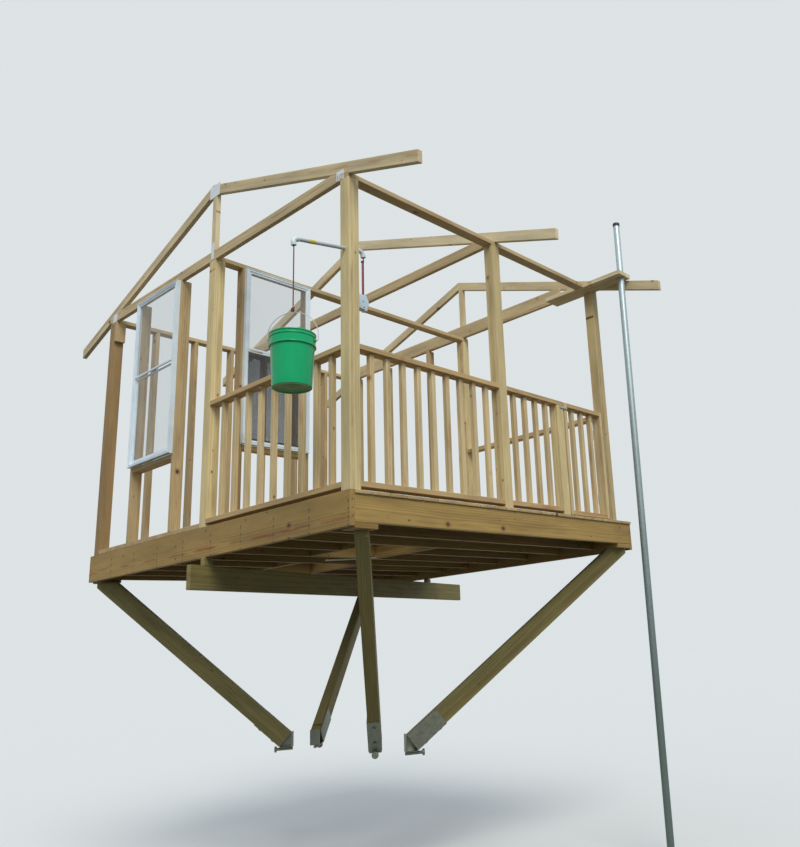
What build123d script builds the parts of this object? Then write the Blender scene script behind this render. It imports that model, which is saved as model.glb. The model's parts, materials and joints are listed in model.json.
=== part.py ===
from build123d import *
import math
import os

# Tree house: a timber deck on a beam and four knee braces, with a railed porch in front,
# a framed room behind it and open rafters above, before any boards or roofing are nailed on.
# It is drawn on the axes of its deck: X runs along the front to the right, Y to the back,
# Z up from the deck's top, and zero is the deck's front left corner. At the end everything
# is moved so that the origin lies on the face of the beam that is bolted to its support.

# Lumber sections
thin = 38.0
stud_width = 89.0
brace_depth = 140.0
joist_depth = 184.0
side_rim_depth = 235.0

# Deck
deck_width = 3220.0
deck_length = 3768.0
decking_thickness = 25.0
decking_width = 140.0
decking_gap = 4.8
decking_overhang = 12.0
joist_bays = 9
corner_block_length = 190.0
corner_block_width = 140.0

# The two square holes that the deck is framed around, and how far out their supports are
porch_hole_x = 1230.0
porch_hole_y = 1260.0
room_hole_x = 1430.0
room_hole_y = 2440.0
hole_size = 580.0
hole_clearance = 30.0
support_radius = 215.0
room_brace_radius = 145.0

# Beam
beam_length = 4267.0
beam_left_x = -150.0
beam_angle = 17.4
beam_drop = 63.0

# Knee braces, their shoes and anchor bolts
brace_head_setback = 92.0
brace_nose = 45.0
near_brace_shift = 80.0
shoe_length = 290.0
shoe_plate = 6.0
shoe_back_thickness = 10.0
shoe_foot_height = -1850.0
anchor_bolt_radius = 12.7
anchor_bolt_length = 140.0
anchor_head_radius = 26.0
anchor_head_thickness = 14.0
brace_bolt_radius = 8.0
brace_bolt_offset = 80.0
brace_bolt_pitch = 150.0
brace_bolt_depth = 90.0
tie_rod_radius = 6.0
tie_rod_length = 330.0
tie_rod_drop = 218.0

# Walls and posts
wall_height = 2247.0
front_post_x = 1487.0
right_walk = 216.0
gate_opening = 595.0
interior_wall_y = 1766.0
back_walk = 75.0
left_stud_front_y = 2318.0
left_stud_back_y = 3044.0
window_stud_left_x = 254.0
window_stud_right_x = 888.0
back_stud_spacing = 406.0
hanger_block_height = 206.0

# Windows
window_sill_height = 690.0
window_rail_height = 1505.0
window_lap = 20.0
window_casing_depth = 36.0
window_jamb_depth = 60.0
window_frame_width = 30.0
window_clearance = 3.0
sash_width = 36.0
upper_sash_width = 14.0
sash_depth = 20.0
glass_thickness = 5.0
window_nose = 40.0
window_nose_height = 30.0

# Roof
roof_pitch = 1 / 3
birdsmouth = 15.0
shallow_birdsmouth = 6.0
ridge_y = 1845.0
front_eave_y = -722.0
middle_eave_y = -652.0
back_eave_y = 4304.0
rafter_depth = 89.0
king_stud_width = 64.0
tie_plate_thickness = 2.0
peak_plate_length = 155.0
peak_plate_height = 115.0
strap_width = 44.0
strap_length = 150.0
corner_plate_size = 80.0

# Railings and gate
rail_height = 1006.0
rail_gap = 24.0
baluster = 38.0
front_balusters = 9
short_balusters = 4
side_balusters = 9
gate_balusters = 3
gate_hinge_gap = 6.0
gate_latch_gap = 14.0
gate_floor_gap = 6.0
hinge_pin_radius = 3.0
hinge_pin_clearance = 0.05
hinge_knuckle_radius = 6.5
hinge_knuckle_gap = 1.0
hinge_leaf_thickness = 3.0
hinge_leaf_width = 32.0
hinge_height = 90.0
hinge_low = 150.0
hinge_high = 760.0
latch_overlap = 33.0
latch_length = 100.0
latch_height = 16.0
latch_thickness = 4.0
latch_step = 5.0
latch_drop = 46.0

# Pole and the board that steadies it; the pole leans a little to the right as it rises
pole_from_rafter = 76.0
pole_y = -370.0
pole_lean = 1.08
pole_radius = 30.2
pole_wall = 3.2
pole_foot = -2743.0
pole_top = 2818.0
pole_cap_height = 24.0
pole_cap_wall = 3.0
pole_board_front = -425.0
pole_board_back = 462.0
plate_on_board = 60.0
pole_clearance = 3.0

# Hoist: a pipe through the front left post with an elbow at each end, a rope in it,
# a cord reel on the post, and a bucket on its bail
hoist_y = 44.5
hoist_pipe_radius = 13.4
hoist_bore_radius = 10.5
hoist_centre_height = 1708.0
hoist_slope = 10.2
hoist_left_x = -382.0
hoist_right_x = 125.0
elbow_radius = 18.5
elbow_bend = 30.0
elbow_leg = 18.0
elbow_socket = 13.0
rope_radius = 4.0
rope_mouth_bend = 60.0
rope_tail_offset = 11.0
reel_radius = 52.0
reel_thickness = 40.0
reel_height = 1332.0
reel_foot_width = 22.0
reel_foot_drop = 8.0
reel_lip = 3.0
bucket_rim_height = 950.0
bucket_height = 350.0
bucket_top_radius = 139.0
bucket_bottom_radius = 122.0
bucket_wall = 3.0
bucket_rim_radius = 145.0
bucket_ring_height = 7.0
bucket_upper_ring = 22.0
bucket_lower_ring = 79.0
bucket_ear_drop = 45.0
bucket_lug_radius = 12.0
bucket_lug_end = 150.0
bail_wire_radius = 2.5
bail_clearance = 0.05
bail_radius = 162.0
bail_leg = 41.0
bail_sides = 8
elbow_sides = 16
knot_radius = 14.0
knot_height = 48.0
bucket_turn = -51.7

# Values that follow from the sizes above
decking_left = thin
inner_right = deck_width - thin
frame_top = -decking_thickness
joist_bottom = frame_top - joist_depth
block_bottom = joist_bottom - thin
joist_pitch = (deck_length - thin) / joist_bays
joist_lines = [index * joist_pitch for index in range(1, joist_bays)]
holes = [(porch_hole_x, porch_hole_y), (room_hole_x, room_hole_y)]
right_post_x = deck_width - right_walk - stud_width
gate_post_x = right_post_x - gate_opening - stud_width
back_wall_y = deck_length - back_walk - stud_width
plate_top = wall_height + thin
edge_plate_top = wall_height + stud_width
right_edge = right_post_x + stud_width
right_rafter_x = right_edge - thin
pole_board_left = right_rafter_x - joist_depth
pole_board_x = right_rafter_x - pole_from_rafter
latch_top = rail_height - latch_drop
middle_rafter_x = front_post_x + thin
back_post_y = back_wall_y
interior_back = interior_wall_y + stud_width
back_edge = back_wall_y + stud_width
rafter_lift = rafter_depth * math.hypot(1, roof_pitch)
window_top = wall_height
beam_top = -side_rim_depth - beam_drop
beam_run = math.cos(math.radians(beam_angle))
beam_rise = math.sin(math.radians(beam_angle))


# A straight timber or block between two corners
def block(x_range, y_range, z_range):
    size_x = x_range[1] - x_range[0]
    size_y = y_range[1] - y_range[0]
    size_z = z_range[1] - z_range[0]
    centre = (sum(x_range) / 2, sum(y_range) / 2, sum(z_range) / 2)
    return Pos(*centre) * Box(size_x, size_y, size_z)


# A profile drawn in the plane of Y and Z, made thick towards +X
def side_profile(points, x_from, thickness):
    outline = Polyline(*[(x_from, y, z) for y, z in points], close=True)
    return extrude(make_face(outline), amount=thickness, dir=(1, 0, 0))


# A round bar or hole between two points
def bar(start, end, radius):
    start = Vector(*start)
    end = Vector(*end)
    plane = Plane(origin=start, z_dir=end - start)
    return plane * Cylinder(radius, (end - start).length, align=(Align.CENTER, Align.CENTER, Align.MIN))


# A tube between two points
def tube(start, end, radius, bore):
    return bar(start, end, radius) - bar(start, end, bore)


# A hexagonal head or nut between two points
def hexagon(start, end, across_corners):
    start = Vector(*start)
    end = Vector(*end)
    plane = Plane(origin=start, z_dir=end - start)
    outline = plane * RegularPolygon(across_corners / 2, 6)
    return extrude(outline, amount=(end - start).length, dir=(end - start).normalized())


# The point on the beam's far face straight behind the support, where the origin is put
def beam_face_point(x):
    along = (x - beam_left_x) / beam_run
    return beam_left_y + along * beam_rise


support_face_y = room_hole_y - support_radius
beam_left_y = support_face_y - (room_hole_x - beam_left_x) * beam_rise / beam_run
beam_mount_x = room_hole_x
beam_mount_y = beam_face_point(beam_mount_x)
beam_mount_z = beam_top - joist_depth / 2
origin = Vector(beam_mount_x, beam_mount_y, beam_mount_z)


# Write one node, moved so that the origin is on the beam's face
def save(name, *solids):
    moved = [Pos(-origin.X, -origin.Y, -origin.Z) * solid for solid in solids]
    shape = moved[0] if len(moved) == 1 else Compound(children=moved)
    export_step(shape, "parts/" + name + ".step")


# Deck frame

def left_rim():
    return block((0, thin), (0, deck_length), (-side_rim_depth, 0))


def right_rim():
    return block((inner_right, deck_width), (0, deck_length), (frame_top - side_rim_depth, frame_top))


def end_rim(y_from):
    return block((thin, inner_right), (y_from, y_from + thin), (joist_bottom, frame_top))


# The X stretch of a joist that a hole takes out, or None where it passes the hole
def hole_header_lines(hole):
    reach = hole_size / 2 + hole_clearance
    return hole[0] - reach - thin, hole[0] + reach


def hole_neighbours(hole):
    reach = hole_size / 2 + hole_clearance
    lines = [0] + joist_lines + [deck_length - thin]
    before = max(y for y in lines if y + thin <= hole[1] - reach)
    after = min(y for y in lines if y >= hole[1] + reach)
    return before, after


def joist_spans(y):
    spans = [(thin, inner_right)]
    for hole in holes:
        before, after = hole_neighbours(hole)
        if before < y < after:
            left, right = hole_header_lines(hole)
            spans = [(thin, left), (right + thin, inner_right)]
    return spans


def joists():
    solids = []
    for y in joist_lines:
        for span in joist_spans(y):
            solids.append(block(span, (y, y + thin), (joist_bottom, frame_top)))
    return solids


def hole_headers():
    solids = []
    for hole in holes:
        before, after = hole_neighbours(hole)
        for x in hole_header_lines(hole):
            solids.append(block((x, x + thin), (before + thin, after), (joist_bottom, frame_top)))
    return solids


def corner_blocks():
    solids = []
    for x in (thin, inner_right - corner_block_length):
        for y in (0, deck_length - corner_block_width):
            y_range = (y, y + corner_block_width)
            solids.append(block((x, x + corner_block_length), y_range, (block_bottom, joist_bottom)))
    return solids


# Decking boards run from front to back, and those over a hole are cut short of it
def decking():
    span = deck_width - decking_left
    count = int((span + decking_gap) // (decking_width + decking_gap))
    pitch = (span - decking_width) / (count - 1)
    solids = []
    for index in range(count):
        x = decking_left + index * pitch
        stretches = [(-decking_overhang, deck_length)]
        for hole in holes:
            if abs(x + decking_width / 2 - hole[0]) < hole_size / 2:
                last = stretches.pop()
                stretches.append((last[0], hole[1] - hole_size / 2))
                stretches.append((hole[1] + hole_size / 2, last[1]))
        for stretch in stretches:
            solids.append(block((x, x + decking_width), stretch, (-decking_thickness, 0)))
    return solids


# Beam and the packing between it and the side rims

def beam_place(along, across, z):
    x = beam_left_x + along * beam_run - across * beam_rise
    y = beam_left_y + along * beam_rise + across * beam_run
    return x, y, z


def main_beam():
    timber = Box(beam_length, thin, joist_depth, align=(Align.MIN, Align.MAX, Align.MAX))
    return Pos(beam_left_x, beam_left_y, beam_top) * Rot(0, 0, beam_angle) * timber


def beam_packing():
    solids = []
    for x, underside in ((thin / 2, -side_rim_depth), (deck_width - thin / 2, frame_top - side_rim_depth)):
        along = (x - beam_left_x) / beam_run
        height = underside - beam_top
        pad = Box(stud_width, thin, height, align=(Align.CENTER, Align.MAX, Align.MIN))
        place = beam_place(along, 0, beam_top)
        solids.append(Pos(*place) * Rot(0, 0, beam_angle) * pad)
    return solids


# A knee brace is drawn flat, with U measured from its deck corner towards the support and
# W up, and is then turned to its own heading

def brace_plan(corner, support, radius):
    reach = Vector(support[0] - corner[0], support[1] - corner[1])
    heading = math.degrees(math.atan2(reach.Y, reach.X))
    return heading, reach.length - radius


def brace_slope(face_u):
    head_u = brace_head_setback
    head_w = block_bottom - brace_nose
    foot_u = face_u - shoe_back_thickness
    slope = math.atan2(head_w - shoe_foot_height, foot_u - head_u)
    return slope, head_u, head_w


# The brace's axes: along it towards its foot, and square to it towards the deck
def brace_axes(face_u):
    slope, head_u, head_w = brace_slope(face_u)
    along = Vector(math.cos(slope), -math.sin(slope))
    across = Vector(math.sin(slope), math.cos(slope))
    return Vector(head_u, head_w), along, across


def brace_outline(face_u):
    nose, along, across = brace_axes(face_u)
    top_edge = nose + across * brace_depth
    to_block = (top_edge.Y - block_bottom) / -along.Y
    heel = top_edge + along * to_block
    length = brace_length(face_u)
    foot_low = nose + along * length
    foot_high = foot_low + across * brace_depth
    corner = Vector(nose.X, block_bottom)
    return [nose, foot_low, foot_high, heel, corner]


# The foot is cut square, and its upper corner stops short of the back plate by the end plate
def brace_length(face_u):
    nose, along, across = brace_axes(face_u)
    room = face_u - shoe_back_thickness - shoe_plate - nose.X - across.X * brace_depth
    return room / along.X


def turned(solid, corner, heading):
    return Pos(corner[0], corner[1], 0) * Rot(0, 0, heading) * solid


def upright_plate(points, v_from, thickness):
    outline = Polyline(*[(point.X, v_from, point.Y) for point in points], close=True)
    return extrude(make_face(outline), amount=thickness, dir=(0, 1, 0))


def knee_brace(site):
    corner, support, radius = site
    heading, face_u = brace_plan(corner, support, radius)
    timber = upright_plate(brace_outline(face_u), -stud_width / 2, stud_width)
    for place, inward in brace_bolt_lines(face_u):
        end = place + inward * brace_bolt_depth
        timber = timber - bar((place.X, 0, place.Y), (end.X, 0, end.Y), brace_bolt_radius)
    return turned(timber, corner, heading)


# Where the brace's lower edge ends at its foot
def brace_foot(face_u):
    nose, along, across = brace_axes(face_u)
    return nose + along * brace_length(face_u), along, across


# Two bolts go up through the shoe's sole into the brace
def brace_bolt_lines(face_u):
    foot, along, across = brace_foot(face_u)
    first = foot - along * brace_bolt_offset
    return [(first, across), (first - along * brace_bolt_pitch, across)]


# The height of the shoe's lowest face, on which the flange rests on its anchor bolt
def shoe_bottom(face_u):
    foot, along, across = brace_foot(face_u)
    return foot.Y - shoe_plate * 3


# The shoe is welded of plates: a sole under the brace, one cheek beside it, an end plate
# square to it, and below that a gusset, a back plate against the support and a flange
def shoe(site):
    corner, support, radius = site
    heading, face_u = brace_plan(corner, support, radius)
    foot, along, across = brace_foot(face_u)
    start = foot - along * shoe_length
    high = across * brace_depth
    low = across * shoe_plate
    cap = along * shoe_plate
    back_u = face_u - shoe_back_thickness
    bottom = shoe_bottom(face_u)
    half = stud_width / 2
    sole = upright_plate([start - low, foot - low, foot, start], -half, stud_width)
    cheek = upright_plate([start - low, foot - low, foot + high, start + high], half, shoe_plate)
    end_plate = [foot - low, foot - low + cap, foot + high + cap, foot + high]
    end_cap = upright_plate(end_plate, -half, stud_width + shoe_plate)
    gusset_points = [foot - low + cap, Vector(foot.X, bottom), Vector(back_u, bottom), foot + high + cap]
    gusset = upright_plate(gusset_points, -shoe_plate / 2, shoe_plate)
    back = block((back_u, face_u), (-half, half), (bottom, foot.Y + high.Y + shoe_plate))
    flange = block((foot.X, back_u), (-half, half), (bottom, bottom + shoe_plate))
    link = block((back_u - shoe_plate, back_u), (-half, half), (foot.Y + high.Y - shoe_plate, foot.Y + high.Y))
    welded = sole + cheek + end_cap + gusset + back + flange + link
    for place, inward in brace_bolt_lines(face_u):
        below = place - inward * stud_width
        above = place + inward
        welded = welded - bar((below.X, 0, below.Y), (above.X, 0, above.Y), brace_bolt_radius)
    return turned(welded, corner, heading)


# A bolt out of the support's face, with a round head, on which the shoe's flange rests
def anchor_bolt(site):
    corner, support, radius = site
    heading, face_u = brace_plan(corner, support, radius)
    w = shoe_bottom(face_u) - anchor_bolt_radius
    end_u = face_u - anchor_bolt_length
    shank = bar((face_u, 0, w), (end_u, 0, w), anchor_bolt_radius)
    head = bar((end_u, 0, w), (end_u - anchor_head_thickness, 0, w), anchor_head_radius)
    return turned(shank + head, corner, heading)


# The two bolts of one shoe, their heads against the sole
def brace_bolts(site):
    corner, support, radius = site
    heading, face_u = brace_plan(corner, support, radius)
    solids = []
    for place, inward in brace_bolt_lines(face_u):
        seat = place - inward * shoe_plate
        tip = place + inward * brace_bolt_depth
        under = seat - inward * brace_bolt_radius * 1.3
        shank = bar((seat.X, 0, seat.Y), (tip.X, 0, tip.Y), brace_bolt_radius)
        head = hexagon((seat.X, 0, seat.Y), (under.X, 0, under.Y), brace_bolt_radius * 3.6)
        solids.append(turned(shank + head, corner, heading))
    return solids


brace_sites = {
    "front_left": ((near_brace_shift, 0), holes[0], support_radius),
    "front_right": ((deck_width, 0), holes[0], support_radius),
    "back_left": ((0, deck_length), holes[1], room_brace_radius),
    "back_right": ((deck_width, deck_length), holes[1], room_brace_radius),
}


# Posts, walls and plates

def post(x, y, height=wall_height):
    return block((x, x + stud_width), (y, y + stud_width), (0, height))


def posts():
    places = [
        (0, 0),
        (front_post_x, 0),
        (right_post_x, 0),
        (0, interior_wall_y),
        (right_post_x, interior_wall_y),
        (0, back_post_y),
        (right_post_x, back_post_y),
    ]
    solids = [post(x, y) for x, y in places]
    solids[0] = solids[0] - hoist_passage()
    return solids


def hoist_passage():
    return bar(hoist_point(-stud_width), hoist_point(stud_width * 2), hoist_pipe_radius)


# Short post beside the gate, its top under the rail
def gate_post():
    return post(gate_post_x, 0, rail_height - thin)


# Wall studs stand flat between a sole plate and the plate above them
def left_wall_studs():
    return [
        block((0, stud_width), (y, y + thin), (thin, wall_height))
        for y in (left_stud_front_y, left_stud_back_y)
    ]


def right_wall_studs():
    return [
        block((right_post_x, right_edge), (y, y + thin), (thin, plate_top))
        for y in (left_stud_front_y, left_stud_back_y)
    ]


def interior_wall_studs():
    return [
        block((x, x + thin), (interior_wall_y, interior_back), (thin, wall_height))
        for x in (window_stud_left_x, window_stud_right_x)
    ]


def back_wall_studs():
    solids = []
    x = back_stud_spacing
    while x + thin < right_post_x:
        solids.append(block((x, x + thin), (back_wall_y, back_edge), (thin, wall_height)))
        x += back_stud_spacing
    return solids


def sole_plates():
    left = block((0, stud_width), (interior_back, back_wall_y), (0, thin))
    right = block((right_post_x, right_edge), (interior_back, back_wall_y), (0, thin))
    back = block((stud_width, right_post_x), (back_wall_y, back_edge), (0, thin))
    interior = block((stud_width, window_stud_right_x + thin), (interior_wall_y, interior_back), (0, thin))
    return [left, right, back, interior]


def window_sills():
    z_range = (window_sill_height - thin, window_sill_height)
    left = block((0, stud_width), (left_stud_front_y + thin, left_stud_back_y), z_range)
    interior_x = (window_stud_left_x + thin, window_stud_right_x)
    interior = block(interior_x, (interior_wall_y, interior_back), z_range)
    return [left, interior]


# The front plate butts against the pole board, and an offcut of it carries the right rafter
def front_plates():
    z_range = (wall_height, plate_top)
    main = block((0, pole_board_left), (0, stud_width), z_range)
    offcut = block((right_rafter_x, right_edge), (0, stud_width), z_range)
    return [main, offcut]


def interior_plate():
    return block((thin, right_edge), (interior_wall_y, interior_back), (wall_height, plate_top))


def back_plate():
    return block((0, right_edge), (back_wall_y, back_edge), (wall_height, plate_top))


# The left plate stands on edge in line with its rafters, which cut its two ends
def left_plate():
    plate = block((0, thin), (stud_width, back_wall_y), (wall_height, edge_plate_top))
    return plate - rafter_clearance(0)


# The right plate stands on edge against its rafters, its front end on the pole board


def right_plate():
    x_range = (right_rafter_x - thin, right_rafter_x)
    y_range = (pole_board_back - plate_on_board, back_edge)
    return block(x_range, y_range, (plate_top, plate_top + brace_depth))


# Everything above a rafter pair's underside
def rafter_clearance(x):
    peak = (ridge_y, rafter_underside(ridge_y))
    front = (front_eave_y, rafter_underside(front_eave_y))
    back = (back_eave_y, rafter_underside(back_eave_y))
    high = wall_height * 2
    points = [front, peak, back, (back_eave_y, high), (front_eave_y, high)]
    return side_profile(points, x - thin, thin * 3)


def rafter_underside(y, seat_cut=birdsmouth):
    run = y if y <= ridge_y else 2 * ridge_y - y
    return plate_top - seat_cut + run * roof_pitch


def tie_beam():
    front = block(
        (front_post_x, front_post_x + thin), (stud_width, interior_wall_y), (wall_height, edge_plate_top)
    )
    back = block(
        (front_post_x, front_post_x + thin), (interior_back, back_wall_y), (wall_height, edge_plate_top)
    )
    return [front, back]


def hanger_block():
    z_range = (wall_height - hanger_block_height, wall_height)
    return block((0, stud_width), (back_post_y - thin, back_post_y), z_range)


# Roof

def front_rafter(x, eave_y, seat_cut):
    eave_low = rafter_underside(eave_y, seat_cut)
    peak_low = rafter_underside(ridge_y, seat_cut)
    points = [
        (eave_y, eave_low),
        (ridge_y, peak_low),
        (ridge_y, peak_low + rafter_lift),
        (eave_y, eave_low + rafter_lift),
    ]
    rafter = side_profile(points, x, thin)
    for plate in front_plates():
        rafter = rafter - plate
    return rafter


def back_rafter(x, seat_cut):
    eave_low = rafter_underside(back_eave_y, seat_cut)
    peak_low = rafter_underside(ridge_y, seat_cut)
    points = [
        (ridge_y, peak_low),
        (back_eave_y, eave_low),
        (back_eave_y, eave_low + rafter_lift),
        (ridge_y, peak_low + rafter_lift),
    ]
    return side_profile(points, x, thin) - back_plate()


rafter_pairs = (
    (0, front_eave_y, birdsmouth),
    (middle_rafter_x, middle_eave_y, shallow_birdsmouth),
    (right_rafter_x, front_eave_y, shallow_birdsmouth),
)


# A king stud stands under the ridge in the plane of its rafters
def king_stud(x, foot, seat_cut):
    y_front = ridge_y - king_stud_width
    points = [
        (y_front, foot),
        (ridge_y, foot),
        (ridge_y, rafter_underside(ridge_y, seat_cut)),
        (y_front, rafter_underside(y_front, seat_cut)),
    ]
    return side_profile(points, x, thin)


# Thin nailed steel plates on the outer face of the left rafters, studs and plates
def tie_plate(y_from, length, z_from, height):
    return block((-tie_plate_thickness, 0), (y_from, y_from + length), (z_from, z_from + height))


def tie_plates():
    peak_low = rafter_underside(ridge_y)
    peak = tie_plate(ridge_y - peak_plate_length * 0.7, peak_plate_length, peak_low - thin, peak_plate_height)
    strap_y = ridge_y - (king_stud_width + strap_width) / 2
    strap = tie_plate(strap_y, strap_width, edge_plate_top - strap_length / 2, strap_length)
    corner_z = plate_top - corner_plate_size / 2
    back = tie_plate(back_wall_y - corner_plate_size / 2, corner_plate_size, corner_z, corner_plate_size)
    front = tie_plate(stud_width - corner_plate_size / 2, corner_plate_size, corner_z, corner_plate_size)
    return [peak, strap, back, front]


# Railings

def rail(x_range, y_range, top):
    return block(x_range, y_range, (top - thin, top))


def baluster_row(start, end, count, z_range, along_y=False, across=0):
    gap = (end - start - count * baluster) / (count + 1)
    offset = across + (stud_width - baluster) / 2
    solids = []
    for index in range(count):
        low = start + gap + index * (gap + baluster)
        run = (low, low + baluster)
        side = (offset, offset + baluster)
        solids.append(block(side, run, z_range) if along_y else block(run, side, z_range))
    return solids


baluster_range = (rail_gap + thin, rail_height - thin)


# One railing panel, nailed up of two flat rails with balusters between them
def fused(solids):
    result = solids[0]
    for solid in solids[1:]:
        result = result + solid
    return result


def front_railing():
    start = stud_width
    end = front_post_x
    depth = (0, stud_width)
    rails = [rail((start, end), depth, rail_height), rail((start, end), depth, rail_gap + thin)]
    return fused(rails + baluster_row(start, end, front_balusters, baluster_range))


def short_railing():
    start = front_post_x + stud_width
    end = gate_post_x
    depth = (0, stud_width)
    top = rail((start, end + stud_width), depth, rail_height)
    bottom = rail((start, end), depth, rail_gap + thin)
    return fused([top, bottom] + baluster_row(start, end, short_balusters, baluster_range))


def side_railing():
    depth = (0, stud_width)
    y_range = (stud_width, interior_wall_y)
    rails = [rail(depth, y_range, rail_height), rail(depth, y_range, rail_gap + thin)]
    return fused(rails + baluster_row(*y_range, side_balusters, baluster_range, along_y=True))


def right_rail():
    return rail((right_post_x, right_edge), (stud_width, interior_wall_y), rail_height)


# Gate between the short post and the right post, and its two butt hinges on the inner side

gate_left = gate_post_x + stud_width + gate_latch_gap
gate_right = right_post_x - gate_hinge_gap
hinge_x = (gate_right + right_post_x) / 2
hinge_y = stud_width + hinge_knuckle_radius + hinge_knuckle_gap / 2


def gate():
    bottom = gate_floor_gap
    left = block((gate_left, gate_left + thin), (0, stud_width), (bottom, rail_height))
    right = block((gate_right - thin, gate_right), (0, stud_width), (bottom, rail_height))
    inner = (gate_left + thin, gate_right - thin)
    top_rail = block(inner, (0, stud_width), (rail_height - thin, rail_height))
    bottom_rail = block(inner, (0, stud_width), (bottom, bottom + thin))
    heights = (bottom + thin, rail_height - thin)
    return fused([left, right, top_rail, bottom_rail] + baluster_row(*inner, gate_balusters, heights))


# A butt hinge's leaf with its share of the knuckles, on the gate's side or the post's
def hinge_leaf(z, side, knuckles):
    near = hinge_x + side * (hinge_knuckle_radius + hinge_knuckle_gap)
    far = near + side * hinge_leaf_width
    leaf_y = (stud_width, stud_width + hinge_leaf_thickness)
    leaf = block((min(near, far), max(near, far)), leaf_y, (z, z + hinge_height))
    for low, high in knuckles:
        barrel = bar((hinge_x, hinge_y, low), (hinge_x, hinge_y, high), hinge_knuckle_radius)
        tab = block((min(hinge_x, near), max(hinge_x, near)), leaf_y, (low, high))
        leaf = leaf + barrel + tab
    return leaf


def gate_hinge_leaves():
    solids = []
    third = hinge_height / 3
    for z in (hinge_low, hinge_high):
        top = z + hinge_height
        knuckles = [(z, z + third - hinge_knuckle_gap), (top - third + hinge_knuckle_gap, top)]
        pin = bar((hinge_x, hinge_y, z), (hinge_x, hinge_y, top), hinge_pin_radius)
        solids.append(hinge_leaf(z, -1, knuckles) + pin)
    return solids


def post_hinge_leaves():
    solids = []
    third = hinge_height / 3
    for z in (hinge_low, hinge_high):
        middle = (z + third, z + hinge_height - third)
        bore = bar(
            (hinge_x, hinge_y, z), (hinge_x, hinge_y, z + hinge_height), hinge_pin_radius + hinge_pin_clearance
        )
        solids.append(hinge_leaf(z, 1, [middle]) - bore)
    return solids


# A stepped strap on the gate post that the gate's stile closes against
def latch():
    post_right = gate_post_x + stud_width
    tip = gate_left + latch_overlap
    z_range = (latch_top - latch_height, latch_top)
    out = latch_thickness + latch_step
    foot = block((tip - latch_length, post_right), (-out, 0), z_range)
    tongue = block((post_right, tip), (-out, -latch_step), z_range)
    return foot + tongue


# Pole

def pole_point(z):
    return pole_board_x + math.tan(math.radians(pole_lean)) * (z - plate_top), pole_y, z


def pole():
    return tube(pole_point(pole_foot), pole_point(pole_top), pole_radius, pole_radius - pole_wall)


def pole_cap():
    outer = pole_radius + pole_cap_wall
    low = pole_point(pole_top - pole_cap_height)
    top = pole_point(pole_top)
    crown_top = pole_point(pole_top + pole_cap_wall * 2)
    return tube(low, top, outer, pole_radius) + bar(top, crown_top, outer)


def pole_board():
    x_range = (pole_board_left, right_rafter_x)
    board = block(x_range, (pole_board_front, pole_board_back), (wall_height, plate_top))
    hole = bar(pole_point(wall_height - thin), pole_point(plate_top + thin), pole_radius + pole_clearance)
    return board - hole


# Hoist, on a centre line that slopes down to the left through the middle of the post

def hoist_point(x):
    rise = math.tan(math.radians(hoist_slope)) * (x - stud_width / 2)
    return x, hoist_y, hoist_centre_height + rise


def hoist_pipe():
    return tube(hoist_point(hoist_left_x), hoist_point(hoist_right_x), hoist_pipe_radius, hoist_bore_radius)


# The pipe's direction, and the way that the elbows' mouths point, square to it
pipe_heading = Vector(math.cos(math.radians(hoist_slope)), 0, math.sin(math.radians(hoist_slope)))
mouth_heading = Vector(pipe_heading.Z, 0, -pipe_heading.X)


def elbow_points(x, side):
    start = Vector(*hoist_point(x))
    heading = pipe_heading * side
    corner = start + heading * elbow_bend
    mouth = corner + mouth_heading * (elbow_bend + elbow_leg)
    return start, heading, corner, mouth


def elbow(x, side):
    start, heading, corner, mouth = elbow_points(x, side)
    entry = start - heading * elbow_socket
    path = FilletPolyline(entry, corner, mouth, radius=elbow_bend)
    section = Plane(origin=entry, z_dir=heading)
    outer = sweep(section * RegularPolygon(elbow_radius, elbow_sides), path=path)
    bore = sweep(section * RegularPolygon(hoist_bore_radius, elbow_sides), path=path)
    socket = bar(tuple(entry), tuple(start), hoist_pipe_radius)
    return outer - bore - socket


left_corner, left_mouth = elbow_points(hoist_left_x, -1)[2:]
right_corner, right_mouth = elbow_points(hoist_right_x, 1)[2:]
bucket_x = left_mouth.X
ear_z = bucket_rim_height - bucket_ear_drop
knot_low = ear_z + bail_leg + bail_radius - bail_wire_radius
knot_top = knot_low + knot_height
reel_x = stud_width + reel_radius
reel_top = reel_height + reel_radius + reel_lip
tail_top = right_mouth.Z - elbow_leg - knot_height / 2


# The housing's round front and the square back that is screwed to the post
def reel():
    y_range = (hoist_y - reel_thickness / 2, hoist_y + reel_thickness / 2)
    drum = bar((reel_x, y_range[0], reel_height), (reel_x, y_range[1], reel_height), reel_radius)
    back = block((stud_width, reel_x), y_range, (reel_height - reel_radius + reel_lip, reel_height))
    foot_x = (reel_x + reel_radius - reel_foot_width * 1.6, reel_x + reel_radius - reel_foot_width * 0.6)
    foot = block(foot_x, y_range, (reel_height - reel_radius - reel_foot_drop, reel_height - reel_radius / 2))
    guide = block((stud_width, right_mouth.X + reel_foot_width / 2), y_range, (reel_height, reel_top))
    return drum + back + foot + guide


# The rope runs straight up from the bucket's knot, bends at the mouth and in the elbow,
# follows the pipe, and comes down again to the reel
def rope_radii():
    return [rope_mouth_bend, elbow_bend, elbow_bend, rope_mouth_bend]


def rope_points():
    low = (left_mouth.X, hoist_y, knot_top)
    high = (right_mouth.X, hoist_y, reel_top)
    return [low, tuple(left_mouth), tuple(left_corner), tuple(right_corner), tuple(right_mouth), high]


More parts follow.
